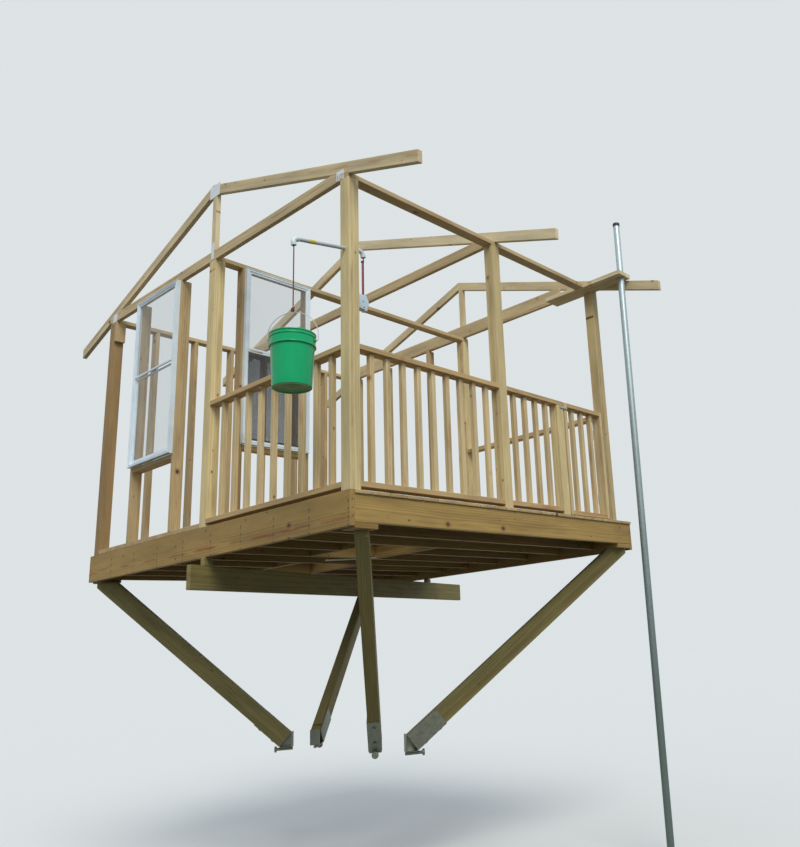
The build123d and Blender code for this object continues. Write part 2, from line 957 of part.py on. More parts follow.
def rope():
    points = rope_points()
    path = FilletPolyline(*points, radius=rope_radii())
    section = Plane(origin=points[0], z_dir=(0, 0, 1)) * Circle(rope_radius)
    solid = sweep(section, path=path)
    expected = math.pi * rope_radius ** 2 * path.length
    print("rope length", round(path.length, 1), "radii", rope_radii())
    print("rope volume", round(solid.volume), "section times length", round(expected))
    return solid


def rope_tail():
    x = right_mouth.X - rope_tail_offset
    return bar((x, hoist_y, reel_top), (x, hoist_y, tail_top), rope_radius)


# Knots: the one on the bail, and the one that ties the tail to the rope below the mouth
def knots():
    low_centre = (bucket_x, hoist_y, knot_low + knot_height / 2)
    half = knot_height / 2
    profile = Polyline((0, -half), (knot_radius, -half / 2), (knot_radius, half / 2), (0, half), close=True)
    bucket_knot = Pos(*low_centre) * revolve(Plane.XZ * make_face(profile), Axis.Z)
    wire = bail()
    tail_x = right_mouth.X - rope_tail_offset / 2
    upper = bar((tail_x, hoist_y, tail_top), (tail_x, hoist_y, tail_top + knot_height / 2), knot_radius)
    strand = bar((right_mouth.X, hoist_y, reel_top), (right_mouth.X, hoist_y, right_mouth.Z), rope_radius)
    return [bucket_knot - wire, upper - strand]


# The bail is wire: half a circle on two straight legs, with its ends turned in through the lugs
def bail():
    plane = Plane(origin=(bail_radius, 0, 0), z_dir=(0, 0, 1))
    section = plane * RegularPolygon(bail_wire_radius, bail_sides)
    solid = Pos(0, 0, bail_leg) * revolve(section, axis=Axis((0, 0, 0), (0, -1, 0)), revolution_arc=180)
    for side in (-1, 1):
        tip = side * (bail_radius + bail_wire_radius)
        pin = bar((side * bail_pin_end(), 0, 0), (tip, 0, 0), bail_wire_radius)
        leg = bar((side * bail_radius, 0, -bail_wire_radius), (side * bail_radius, 0, bail_leg), bail_wire_radius)
        solid = solid + pin + leg
    return bucket_place() * solid


# How far in the bail's pins reach, short of the bucket's wall
def bail_pin_end():
    return bucket_side(0) + bucket_wall / 2


def bucket_place():
    return Pos(bucket_x, hoist_y, ear_z) * Rot(0, 0, bucket_turn)


# The bucket's outer radius at a height over its ears
def bucket_side(z):
    down = (bucket_ear_drop - z) / bucket_height
    return bucket_top_radius + (bucket_bottom_radius - bucket_top_radius) * down


# The bucket is a thin tapered shell with a rolled rim, two rings below it and a lug each side
def bucket():
    top = bucket_ear_drop
    low = top - bucket_height
    points = [(0, low), (bucket_bottom_radius, low)]
    for drop in (bucket_lower_ring, bucket_upper_ring, 0):
        high = top - drop
        z = high - bucket_ring_height
        points += [(bucket_side(z), z), (bucket_rim_radius, z), (bucket_rim_radius, high)]
        if high < top:
            points.append((bucket_side(high), high))
    points += [
        (bucket_top_radius - bucket_wall, top),
        (bucket_bottom_radius - bucket_wall, low + bucket_wall),
        (0, low + bucket_wall),
    ]
    shell = revolve(Plane.XZ * make_face(Polyline(*points, close=True)), Axis.Z)
    wall_x = bucket_side(0) - bucket_wall / 2
    for side in (-1, 1):
        lug = bar((side * wall_x, 0, 0), (side * bucket_lug_end, 0, 0), bucket_lug_radius)
        bore_start = bail_pin_end() - bail_clearance
        bore = bar((side * bore_start, 0, 0), (side * bucket_lug_end, 0, 0), bail_wire_radius + bail_clearance)
        shell = shell + lug - bore
    return bucket_place() * shell


# Windows, drawn upright facing -Y with their lower left corner at zero

window_height = window_top - window_sill_height


def ring(width, height, bar_width, y_from, depth, x=0, z=0, foot_width=None):
    outer = block((x, x + width), (y_from, y_from + depth), (z, z + height))
    inner_x = (x + bar_width, x + width - bar_width)
    inner_z = (z + (foot_width or bar_width), z + height - bar_width)
    return outer - block(inner_x, (y_from - 1, y_from + depth + 1), inner_z)


def window_frame(opening):
    width = opening + 2 * window_lap
    casing = ring(width, window_height, window_frame_width, -window_casing_depth, window_casing_depth)
    inset = window_lap + window_clearance
    jamb_wall = window_frame_width - inset
    jamb = ring(width - 2 * inset, window_height - inset, jamb_wall, 0, window_jamb_depth, inset, 0)
    nose_y = (-window_casing_depth - window_nose, -window_casing_depth)
    nose = block((0, width), nose_y, (0, window_nose_height))
    filler = block((inset, width - inset), (0, window_jamb_depth), (0, window_frame_width))
    return casing + jamb + nose + filler


def sash_sizes(opening):
    width = opening + 2 * window_lap - 2 * window_frame_width
    meeting = window_rail_height - window_sill_height
    top = window_height - window_frame_width
    return width, meeting, top


def window_sashes(opening):
    width, meeting, top = sash_sizes(opening)
    x = window_frame_width
    low = window_frame_width
    upper = ring(width, top - meeting, upper_sash_width, 0, sash_depth, x, meeting, sash_width)
    lower_y = sash_depth + window_clearance
    lower = ring(width, meeting + sash_width - low, sash_width, lower_y, sash_depth, x, low)
    return [upper, lower]


def window_panes(opening):
    width, meeting, top = sash_sizes(opening)
    upper_left = window_frame_width + upper_sash_width
    upper_x = (upper_left, window_frame_width + width - upper_sash_width)
    x_range = (window_frame_width + sash_width, window_frame_width + width - sash_width)
    centre = sash_depth / 2
    half = glass_thickness / 2
    upper_z = (meeting + sash_width, top - upper_sash_width)
    upper = block(upper_x, (centre - half, centre + half), upper_z)
    lower_y = centre + sash_depth + window_clearance
    lower_z = (window_frame_width + sash_width, meeting)
    lower = block(x_range, (lower_y - half, lower_y + half), lower_z)
    return [upper, lower]


# An insect screen in its own thin frame, over the lower sash
def window_screen(opening):
    width, meeting, top = sash_sizes(opening)
    x_range = (window_frame_width, window_frame_width + width)
    y_range = (-window_casing_depth / 2, -window_casing_depth / 2 + glass_thickness)
    return block(x_range, y_range, (window_frame_width, meeting))


left_opening = left_stud_back_y - left_stud_front_y - thin
inner_opening = window_stud_right_x - window_stud_left_x - thin


def on_left_wall(solid):
    corner_y = left_stud_back_y + window_lap
    return Pos(0, corner_y, window_sill_height) * Rot(0, 0, -90) * solid


def on_inner_wall(solid):
    corner_x = window_stud_left_x + thin - window_lap
    return Pos(corner_x, interior_wall_y, window_sill_height) * solid


def tie_rod():
    corner, support, radius = brace_sites["front_left"]
    heading, face_u = brace_plan(corner, support, radius)
    nose, along, across = brace_axes(face_u)
    place = nose + along * tie_rod_drop + across * (brace_depth / 2)
    near = -stud_width / 2
    rod = bar((place.X, near - thin, place.Y), (place.X, near - thin + tie_rod_length, place.Y), tie_rod_radius)
    nut = hexagon((place.X, near, place.Y), (place.X, near - tie_rod_radius * 2, place.Y), tie_rod_radius * 4)
    return turned(rod + nut, corner, heading)


def tie_rod_hole(site):
    corner, support, radius = site
    heading, face_u = brace_plan(corner, support, radius)
    nose, along, across = brace_axes(face_u)
    place = nose + along * tie_rod_drop + across * (brace_depth / 2)
    return turned(
        bar((place.X, -stud_width, place.Y), (place.X, stud_width, place.Y), tie_rod_radius), corner, heading
    )


def knee_braces():
    solids = [knee_brace(site) for site in brace_sites.values()]
    solids[0] = solids[0] - tie_rod_hole(brace_sites["front_left"])
    return solids


def wall_studs():
    return left_wall_studs() + right_wall_studs() + interior_wall_studs() + back_wall_studs()


def main():
    os.makedirs("parts", exist_ok=True)
    save("rims_side", left_rim(), right_rim())
    save("rims_across", end_rim(0), end_rim(deck_length - thin))
    save("joists", *joists())
    save("hole_headers", *hole_headers())
    save("corner_blocks", *corner_blocks())
    save("decking", *decking())
    save("main_beam", main_beam())
    save("beam_packing", *beam_packing())
    save("knee_braces", *knee_braces())
    save("brace_shoes", *[shoe(site) for site in brace_sites.values()])
    save("anchor_bolts", *[anchor_bolt(site) for site in brace_sites.values()])
    save("brace_bolts", *[bolt for site in brace_sites.values() for bolt in brace_bolts(site)])
    save("tie_rod", tie_rod())
    save("posts", *posts())
    save("gate_post", gate_post())
    save("wall_studs", *wall_studs())
    save("sole_plates", *sole_plates())
    save("window_sills", *window_sills())
    save("flat_plates", *front_plates(), interior_plate(), back_plate())
    save("edge_plates", left_plate(), right_plate())
    save("tie_beam", *tie_beam())
    save("hanger_block", hanger_block())
    save("rafters_front", *[front_rafter(*pair) for pair in rafter_pairs])
    save("rafters_back", *[back_rafter(x, seat_cut) for x, eave_y, seat_cut in rafter_pairs])
    left_king = king_stud(0, edge_plate_top, birdsmouth)
    save("king_studs", left_king, king_stud(right_rafter_x, plate_top, shallow_birdsmouth))
    save("tie_plates", *tie_plates())
    save("railing_front", front_railing())
    save("railing_short", short_railing())
    save("railing_side", side_railing())
    save("rail_right", right_rail())
    save("gate", gate())
    save("gate_hinge_leaves", *gate_hinge_leaves())
    save("post_hinge_leaves", *post_hinge_leaves())
    save("latch", latch())
    save("left_window_frame", on_left_wall(window_frame(left_opening)))
    save("left_window_sashes", *[on_left_wall(sash) for sash in window_sashes(left_opening)])
    save("left_window_glass", *[on_left_wall(pane) for pane in window_panes(left_opening)])
    save("inner_window_frame", on_inner_wall(window_frame(inner_opening)))
    save("inner_window_sashes", *[on_inner_wall(sash) for sash in window_sashes(inner_opening)])
    save("inner_window_glass", *[on_inner_wall(pane) for pane in window_panes(inner_opening)])
    save("window_screen", on_inner_wall(window_screen(inner_opening)))
    save("pole", pole())
    save("pole_cap", pole_cap())
    save("pole_board", pole_board())
    save("hoist_pipe", hoist_pipe())
    save("hoist_elbows", elbow(hoist_left_x, -1), elbow(hoist_right_x, 1))
    save("reel", reel())
    save("rope", rope())
    save("rope_tail", rope_tail())
    save("knots", *knots())
    save("bail", bail())
    save("bucket", bucket())


main()
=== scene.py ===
import json
import math
import random

import bmesh
import bpy
import numpy as np
from mathutils import Matrix, Vector

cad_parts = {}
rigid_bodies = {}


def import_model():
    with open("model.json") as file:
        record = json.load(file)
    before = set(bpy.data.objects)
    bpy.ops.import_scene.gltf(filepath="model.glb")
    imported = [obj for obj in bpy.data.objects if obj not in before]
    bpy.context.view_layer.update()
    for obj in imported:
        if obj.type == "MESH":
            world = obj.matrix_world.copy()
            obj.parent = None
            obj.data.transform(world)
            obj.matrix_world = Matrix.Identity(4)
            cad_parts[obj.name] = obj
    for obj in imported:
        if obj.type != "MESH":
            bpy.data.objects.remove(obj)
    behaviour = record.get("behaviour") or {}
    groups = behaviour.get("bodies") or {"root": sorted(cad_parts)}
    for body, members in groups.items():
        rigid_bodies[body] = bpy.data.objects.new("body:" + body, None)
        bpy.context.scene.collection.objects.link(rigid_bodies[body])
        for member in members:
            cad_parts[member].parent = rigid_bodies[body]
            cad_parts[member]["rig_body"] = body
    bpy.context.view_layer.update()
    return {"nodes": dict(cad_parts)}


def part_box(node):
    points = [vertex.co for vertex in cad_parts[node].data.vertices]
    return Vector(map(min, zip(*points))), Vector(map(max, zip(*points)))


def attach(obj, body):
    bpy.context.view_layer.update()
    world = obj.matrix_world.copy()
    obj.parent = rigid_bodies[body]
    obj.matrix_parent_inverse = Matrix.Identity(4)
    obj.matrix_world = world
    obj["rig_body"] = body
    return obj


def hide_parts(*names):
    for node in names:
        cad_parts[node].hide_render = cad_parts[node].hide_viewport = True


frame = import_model()


# Deck frame
# Rims, joists, headers and corner blocks of treated softwood, planed on four sides with
# eased corners. They are nailed face to end, and each board has its own grain and tone.

weld_distance = 0.00002
flat_angle = math.radians(0.6)
corner_angle = math.radians(25)
sharp_angle = math.radians(35)
nearly_square = 0.4
eased_corner = 0.004


def eased_mesh(node, ease, segments=2):
    """A node's solids with their flat faces whole and their sharp corners eased."""
    work = bmesh.new()
    work.from_mesh(frame["nodes"][node].data)
    bmesh.ops.remove_doubles(work, verts=work.verts, dist=weld_distance)
    bmesh.ops.dissolve_limit(work, angle_limit=flat_angle, verts=work.verts, edges=work.edges)
    solid_edges = [edge for edge in work.edges if edge.is_manifold]
    corners = [edge for edge in solid_edges if edge.calc_face_angle(0) > corner_angle]
    bmesh.ops.bevel(
        work, geom=corners, offset=ease, segments=segments, profile=0.5, affect="EDGES", clamp_overlap=True
    )
    return work


def islands(work):
    """The vertices of each separate solid in a mesh."""
    left = set(work.verts)
    groups = []
    while left:
        seed = next(vert for vert in work.verts if vert in left)
        left.discard(seed)
        group = [seed]
        for vert in group:
            for edge in vert.link_edges:
                other = edge.other_vert(vert)
                if other in left:
                    left.discard(other)
                    group.append(other)
        groups.append(group)
    return groups


def grain_axes(group):
    """Along a board, by its longest edge, across its wider side, and through it."""
    edges = sorted({edge for vert in group for edge in vert.link_edges}, key=lambda edge: edge.index)
    runs = [edge.verts[1].co - edge.verts[0].co for edge in edges]
    runs.sort(key=lambda run: run.length)
    along = runs[-1].normalized()
    square = [run for run in runs if abs(run.normalized().dot(along)) < nearly_square]
    across = (square[-1] - along * square[-1].dot(along)).normalized()
    return along, across, along.cross(across)


def place_in_log(chance):
    """How far along its log a board lay, and how far from the pith, in metres."""
    return Vector((chance.uniform(0, 40), chance.uniform(-0.06, 0.06), chance.uniform(0.02, 0.12)))


def note_grain(mesh, groups, chance, tone_at=None):
    """Store each board's own coordinates, off centre in its log, and its tone."""
    grain = np.zeros((len(mesh.vertices), 3), np.float32)
    tone = np.zeros(len(mesh.vertices), np.float32)
    for indices, places, axes in groups:
        centre = sum(places, Vector()) / len(places)
        shift = place_in_log(chance)
        shade = tone_at(centre) if tone_at else chance.random()
        for index, place in zip(indices, places):
            local = place - centre
            grain[index] = [local.dot(axis) + move for axis, move in zip(axes, shift)]
            tone[index] = shade
    attribute = mesh.attributes.new("grain", "FLOAT_VECTOR", "POINT")
    attribute.data.foreach_set("vector", grain.ravel())
    attribute = mesh.attributes.new("tone", "FLOAT", "POINT")
    attribute.data.foreach_set("value", tone)


def finished_mesh(work, name):
    """Turn the mesh in work into one that a piece can have, and let go of it."""
    mesh = bpy.data.meshes.new(name)
    work.to_mesh(mesh)
    work.free()
    return mesh


def show(name, mesh, material, body, smooth=False):
    """Link a finished mesh as a piece of one body."""
    piece = bpy.data.objects.new(name, mesh)
    bpy.context.scene.collection.objects.link(piece)
    mesh.materials.append(material)
    if smooth:
        mesh.polygons.foreach_set("use_smooth", [True] * len(mesh.polygons))
        mesh.set_sharp_from_angle(angle=sharp_angle)
    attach(piece, body)
    return piece


def body_of_node(node):
    return frame["nodes"][node]["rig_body"]


def show_boards(name, work, material, body, tone_at=None):
    """Link a mesh of boards, each with its grain along its length."""
    work.verts.ensure_lookup_table()
    work.verts.index_update()
    work.edges.index_update()
    groups = []
    for group in islands(work):
        indices = [vert.index for vert in group]
        groups.append((indices, [vert.co.copy() for vert in group], grain_axes(group)))
    mesh = finished_mesh(work, name)
    note_grain(mesh, groups, random.Random(name), tone_at)
    return show(name, mesh, material, body)


def stands_for(piece, node):
    """Hide a node, so that the piece made for it is seen in its place."""
    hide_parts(node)


def timbers(node, material, ease=eased_corner, tone_at=None):
    """Dress a node of boards: the same solids with eased corners."""
    piece = show_boards(node + "_timber", eased_mesh(node, ease), material, body_of_node(node), tone_at)
    stands_for(piece, node)


class Finish:
    """A material, and a short way to add its nodes."""

    def __init__(self, name, roughness=0.5, metallic=0.0):
        self.material = bpy.data.materials.new(name)
        self.material.use_nodes = True
        self.tree = self.material.node_tree
        self.shader = self.tree.nodes["Principled BSDF"]
        self.shader.inputs["Roughness"].default_value = roughness
        self.shader.inputs["Metallic"].default_value = metallic

    def add(self, kind, sockets=None, **settings):
        new = self.tree.nodes.new("ShaderNode" + kind)
        for key, value in settings.items():
            setattr(new, key, value)
        for socket, value in (sockets or {}).items():
            self.feed(new.inputs[socket], value)
        return new

    def feed(self, socket, value):
        if isinstance(value, bpy.types.NodeSocket):
            self.tree.links.new(value, socket)
        else:
            socket.default_value = value

    def calculate(self, operation, first, second=0.5):
        return self.add("Math", {0: first, 1: second}, operation=operation).outputs[0]

    def plus(self, first, second):
        return self.calculate("ADD", first, second)

    def times(self, first, second):
        return self.calculate("MULTIPLY", first, second)

    def rescale(self, value, low, high, to_low=0.0, to_high=1.0):
        sockets = {"Value": value, "From Min": low, "From Max": high, "To Min": to_low, "To Max": to_high}
        return self.add("MapRange", sockets).outputs["Result"]

    def mix(self, factor, first, second, blend="MIX"):
        """Blend two colours. A Mix node takes colours at sockets 6 and 7 and gives one at 2."""
        new = self.add("Mix", data_type="RGBA", blend_type=blend)
        self.feed(new.inputs["Factor"], factor)
        self.feed(new.inputs[6], first)
        self.feed(new.inputs[7], second)
        return new.outputs[2]

    def noise(self, vector, scale, detail=3.0, roughness=0.55):
        sockets = {"Vector": vector, "Scale": scale, "Detail": detail, "Roughness": roughness}
        return self.add("TexNoise", sockets).outputs["Fac"]

    def stretch(self, vector, scale):
        return self.add("VectorMath", {0: vector, 1: scale}, operation="MULTIPLY").outputs[0]

    def bump(self, height, strength, distance):
        sockets = {"Height": height, "Strength": strength, "Distance": distance}
        self.feed(self.shader.inputs["Normal"], self.add("Bump", sockets).outputs["Normal"])


def growth_rings(finish, grain, rings):
    """The dark late wood of rings round a wandering pith, and how far across the board it lies."""
    wander = finish.noise(finish.stretch(grain, (0.9, 6, 6)), 1.0, 2.0)
    split = finish.add("SeparateXYZ", {"Vector": grain})
    across = finish.plus(split.outputs["Y"], finish.rescale(wander, 0, 1, -0.03, 0.03))
    deep = split.outputs["Z"]
    radius = finish.calculate("SQRT", finish.plus(finish.times(across, across), finish.times(deep, deep)))
    wave = finish.calculate("SINE", finish.times(radius, 2 * math.pi / rings))
    late = finish.calculate("POWER", finish.rescale(wave, -1, 1), 2.0)
    return late, across


def heart_streak(finish, colour, grain, across, heart):
    """A broken reddish band along the pith, wider and stronger with more heart."""
    narrow = finish.rescale(finish.calculate("ABSOLUTE", across), 0.006 + 0.012 * heart, 0.004 * heart)
    patches = finish.noise(finish.stretch(grain, (4.0, 30, 30)), 1.0, 3.0)
    broken = finish.rescale(patches, 0.45, 0.62)
    red = finish.times(finish.times(narrow, broken), heart)
    return finish.mix(red, colour, (0.70, 0.42, 0.28, 1), "MULTIPLY")


def knotted(finish, colour, grain, fibre):
    """Round and long knots, each a dark core in a brown ring, in a few of a layer's cells."""
    for spread, rarity in (((5.5, 7.0, 0.5), 0.76), ((11.0, 19.0, 0.9), 0.88)):
        cells = finish.add("TexVoronoi", {"Vector": finish.stretch(grain, spread), "Scale": 1.0})
        pick = finish.add("SeparateColor", {"Color": cells.outputs["Color"]}).outputs[0]
        chosen = finish.calculate("GREATER_THAN", pick, rarity)
        reach = finish.plus(cells.outputs["Distance"], finish.rescale(fibre, 0, 1, -0.03, 0.03))
        halo = finish.times(finish.rescale(reach, 0.22, 0.09), chosen)
        colour = finish.mix(finish.times(halo, 0.75), colour, (0.60, 0.36, 0.22, 1), "MULTIPLY")
        core = finish.times(finish.rescale(reach, 0.110, 0.075), chosen)
        colour = finish.mix(core, colour, (0.085, 0.040, 0.018, 1))
    return colour


def nail_stained(finish, colour, nails):
    """A dark run below each nail, down to just above the next one."""
    axis, first, spacing = nails
    place = finish.add("SeparateXYZ", {"Vector": finish.add("TexCoord").outputs["Object"]})
    from_first = finish.calculate("SUBTRACT", place.outputs[axis], first)
    aside = finish.calculate("PINGPONG", from_first, spacing / 2)
    below = finish.calculate("SUBTRACT", deck_top - nail_drops[0], place.outputs["Z"])
    nail_step = nail_drops[1] - nail_drops[0]
    fall = finish.calculate("FRACT", finish.calculate("DIVIDE", below, nail_step))
    stain_edge = 0.0085
    stain_core = 0.0040
    strength = finish.rescale(fall, 0.0, 0.75, 0.85, 0.0)
    run = finish.times(finish.rescale(aside, stain_edge, stain_core), strength)
    run = finish.times(run, finish.calculate("GREATER_THAN", below, 0.0))
    return finish.mix(run, colour, (0.050, 0.030, 0.018, 1))


def softwood(name, pale, dark, wear_and_shade, rings=0.010, heart=0.6, nails=None):
    """Planed softwood: growth rings, fine fibres, a heart streak and knots.

    A board's tone takes it from its own colour to that colour times the darker colour given last,
    which is wear for most boards and painted shade for the posts. With nails, which is an axis, a
    first place and a spacing, a dark stain runs down from each nail.
    """
    finish = Finish(name, roughness=0.72)
    grain = finish.add("Attribute", attribute_name="grain").outputs["Vector"]
    tone = finish.add("Attribute", attribute_name="tone").outputs["Fac"]
    late, across = growth_rings(finish, grain, rings)
    fibre = finish.noise(finish.stretch(grain, (5, 260, 260)), 1.0, 2.0)
    blotch = finish.noise(finish.stretch(grain, (1.8, 11, 11)), 1.0, 4.0)
    colour = finish.mix(finish.plus(finish.times(late, 0.5), finish.times(fibre, 0.45)), pale, dark)
    shade = finish.rescale(blotch, 0.32, 0.68, 0.78, 1.14)
    colour = finish.add("HueSaturation", {"Color": colour, "Value": shade}).outputs["Color"]
    colour = heart_streak(finish, colour, grain, across, heart)
    colour = knotted(finish, colour, grain, fibre)
    colour = finish.mix(tone, colour, finish.mix(1.0, colour, wear_and_shade, "MULTIPLY"))
    if nails:
        colour = nail_stained(finish, colour, nails)
    finish.feed(finish.shader.inputs["Base Color"], colour)
    finish.feed(finish.shader.inputs["Roughness"], finish.rescale(fibre, 0.3, 0.7, 0.62, 0.82))
    finish.bump(finish.plus(fibre, finish.times(late, 0.4)), 0.35, 0.0008)
    return finish.material


lumber_thickness = 0.038
joist_count = 10
nail_drops = (0.065, 0.117, 0.169)
rim_low, rim_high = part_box("rims_side")
deck_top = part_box("decking")[1].z
first_joist = rim_low.y + lumber_thickness / 2
joist_spacing = (rim_high.y - rim_low.y - lumber_thickness) / (joist_count - 1)
left_rim = rim_low.x + lumber_thickness / 2
right_rim = rim_high.x - lumber_thickness / 2
frame_pale = (0.44, 0.292, 0.088, 1)
frame_dark = (0.24, 0.148, 0.042, 1)
frame_worn = (0.62, 0.56, 0.50, 1)
frame_wood = softwood("treated_frame_lumber", frame_pale, frame_dark, frame_worn)
side_rim_wood = softwood(
    "side_rim_lumber", frame_pale, frame_dark, (0.80, 0.76, 0.72, 1), heart=1.0,
    nails=("Y", first_joist, joist_spacing),
)
end_rim_wood = softwood(
    "end_rim_lumber", frame_pale, frame_dark, (0.95, 0.93, 0.90, 1), heart=0.5,
    nails=("X", left_rim, right_rim - left_rim),
)
timbers("rims_side", side_rim_wood)
timbers("rims_across", end_rim_wood)
for node in ("joists", "hole_headers", "corner_blocks"):
    timbers(node, frame_wood)


def galvanised(name, pale, dark, spangle=55.0, painted_shade_span=None):
    """Dull zinc with its patchwork of crystals, and painted shade that darkens it towards the lower of two
    heights.
    """
    finish = Finish(name, roughness=0.45, metallic=1.0)
    place = finish.add("TexCoord").outputs["Object"]
    cells = finish.add("TexVoronoi", {"Vector": place, "Scale": spangle})
    grey = finish.add("SeparateColor", {"Color": cells.outputs["Color"]}).outputs[0]
    cloud = finish.noise(place, 3.0, 4.0)
    both = finish.plus(finish.times(grey, 0.4), finish.times(cloud, 0.6))
    colour = finish.mix(both, dark, pale)
    if painted_shade_span:
        # Painted shade: below the upper height the zinc is mixed towards a dark grey, fully at the lower
        # height.
        shade_darkest, shade_free = painted_shade_span
        height = finish.add("SeparateXYZ", {"Vector": place}).outputs["Z"]
        painted_shade = finish.rescale(height, shade_free, shade_darkest)
        colour = finish.mix(painted_shade, colour, finish.mix(1.0, colour, (0.30, 0.32, 0.27, 1), "MULTIPLY"))
    finish.feed(finish.shader.inputs["Base Color"], colour)
    finish.feed(finish.shader.inputs["Roughness"], finish.rescale(both, 0.2, 0.8, 0.35, 0.6))
    finish.bump(cloud, 0.1, 0.0005)
    return finish.material


nail_zinc = galvanised(
    "nail_zinc", pale=(0.16, 0.14, 0.12, 1), dark=(0.07, 0.055, 0.045, 1), spangle=300.0
)
head_depth = 0.0014
head_crown = 0.6
head_lift = 0.0006


def nail_heads(name, spots, radius, body="frame"):
    """Low heads with sloping sides, each at a point of a face and facing along its normal."""
    work = bmesh.new()
    for place, normal in spots:
        turn = Vector(normal).to_track_quat("Z", "Y").to_matrix().to_4x4()
        matrix = Matrix.Translation(Vector(place) + Vector(normal) * head_lift) @ turn
        bmesh.ops.create_cone(
            work, cap_ends=True, segments=10, radius1=radius, radius2=radius * head_crown,
            depth=head_depth, matrix=matrix,
        )
    piece = show(name, finished_mesh(work, name), nail_zinc, body)


def rim_nail_spots():
    """Three nails one above the other into each joist's end and each end rim's end."""
    spots = []
    for row in range(joist_count):
        y = first_joist + row * joist_spacing
        for drop in nail_drops:
            spots.append(((rim_low.x, y, deck_top - drop), (-1, 0, 0)))
            spots.append(((rim_high.x, y, deck_top - drop), (1, 0, 0)))
    for x in (left_rim, right_rim):
        for drop in nail_drops:
            spots.append(((x, rim_low.y, deck_top - drop), (0, -1, 0)))
            spots.append(((x, rim_high.y, deck_top - drop), (0, 1, 0)))
    return spots


nail_heads("rim_nails", rim_nail_spots(), radius=0.0055)


# Decking
# Boards 25 mm thick with rounded corners, laid from front to back with narrow gaps and cut
# short at the two square holes. They are screwed down over each joist.

deck_wood = softwood(
    "deck_boards", pale=(0.56, 0.42, 0.21, 1), dark=(0.36, 0.25, 0.115, 1), wear_and_shade=(0.78, 0.74, 0.68, 1)
)
rounded_corner = 0.005
timbers("decking", deck_wood, ease=rounded_corner)
board_low, board_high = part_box("decking")
board_width = 0.140
board_count = 22
board_pitch = (board_high.x - board_low.x - board_width) / (board_count - 1)
screw_inset = 0.028
screw_radius = 0.004
square_holes = ((-0.200, -0.965), (0.0, 0.215))
clear_of_hole_x = 0.33
clear_of_hole_y = 0.31


def over_a_hole(x, y):
    """Whether a screw there would be in a hole or in the frame of headers round it."""
    for hole_x, hole_y in square_holes:
        if abs(x - hole_x) < clear_of_hole_x and abs(y - hole_y) < clear_of_hole_y:
            return True
    return False


def deck_screw_spots():
    """Two screws through each board into each joist."""
    spots = []
    for board in range(board_count):
        for row in range(joist_count):
            y = first_joist + row * joist_spacing
            for side in (screw_inset, board_width - screw_inset):
                x = board_low.x + board * board_pitch + side
                if not over_a_hole(x, y):
                    spots.append(((x, y, deck_top), (0, 0, 1)))
    return spots


nail_heads("deck_screws", deck_screw_spots(), screw_radius)


# Beam, packing and knee braces
# One long timber carries the deck's middle on two packing pieces, and four heavy braces run
# down from under the corners to steel shoes on the supports.

# This dark timber, for the beam, packing and braces, is partly its own weathered tone and partly painted
# shade of the deck and trees above it.
brace_wood = softwood(
    "brace_timber", pale=(0.28, 0.235, 0.082, 1), dark=(0.16, 0.125, 0.038, 1), wear_and_shade=(0.70, 0.70, 0.60, 1)
)
for node in ("main_beam", "beam_packing", "knee_braces"):
    timbers(node, brace_wood, ease=rounded_corner)


# Steel under the deck
# The shoes are welded from flat plate and hot dip galvanised, like the bolts, nuts and rod
# that fix them and the braces. The zinc is dull and blotchy grey, painted dark with the shade
# of the deck above it.

def eased_piece(node, material, ease, smooth=False, segments=2):
    """Dress a node that isn't timber: the same solids with their corners eased."""
    name = node + "_finished"
    mesh = finished_mesh(eased_mesh(node, ease, segments), name)
    stands_for(show(name, mesh, material, body_of_node(node), smooth), node)


steel_edge = 0.0008
zinc = galvanised("dull_zinc", pale=(0.60, 0.62, 0.62, 1), dark=(0.36, 0.39, 0.40, 1))
# Painted shade: this zinc is coloured far darker than the clean zinc, for the shade under the deck.
shade_darkened_zinc = galvanised("shade_darkened_zinc", pale=(0.20, 0.21, 0.17, 1), dark=(0.10, 0.105, 0.08, 1))
for node in ("brace_shoes", "anchor_bolts", "brace_bolts", "tie_rod"):
    eased_piece(node, shade_darkened_zinc, steel_edge)


# Posts, studs and plates
# Planed posts stand on the deck at its corners, with studs between sole plates and top
# plates where the walls will be. The lumber is paler and newer than the deck's.

# Painted shade: a post's tone darkens its lumber towards the last colour given here, for the posts that
# stood in shade.
post_wood = softwood(
    "post_lumber", pale=(0.70, 0.575, 0.31, 1), dark=(0.49, 0.375, 0.17, 1), wear_and_shade=(0.48, 0.38, 0.30, 1)
)
stud_wood = softwood(
    "stud_lumber", pale=(0.60, 0.46, 0.25, 1), dark=(0.41, 0.29, 0.135, 1), wear_and_shade=(0.72, 0.66, 0.58, 1)
)
plate_wood = softwood(
    "plate_lumber", pale=(0.70, 0.585, 0.36, 1), dark=(0.50, 0.385, 0.21, 1), wear_and_shade=(0.80, 0.74, 0.66, 1)
)
# Each post's place on the deck, from its front left corner, and how much painted shade darkens its lumber
post_shade_tones = (
    ((0, 0), 0.0),
    ((0, 1.80), 0.0),
    ((0, 3.70), 1.0),
    ((1.53, 0), 0.14),
    ((2.26, 0), 0.0),
    ((3.02, 0), 0.35),
    ((3.02, 1.80), 0.0),
    ((3.02, 3.70), 0.45),
)


def post_painted_shade(centre):
    """The painted shade of the post that stands nearest."""
    spot = (centre.x - rim_low.x, centre.y - rim_low.y)
    return min(post_shade_tones, key=lambda post: math.dist(post[0], spot))[1]


for node in ("posts", "gate_post"):
    timbers(node, post_wood, tone_at=post_painted_shade)
for node in ("wall_studs", "sole_plates", "window_sills", "hanger_block"):
    timbers(node, stud_wood)
for node in ("flat_plates", "edge_plates", "tie_beam"):
    timbers(node, plate_wood)


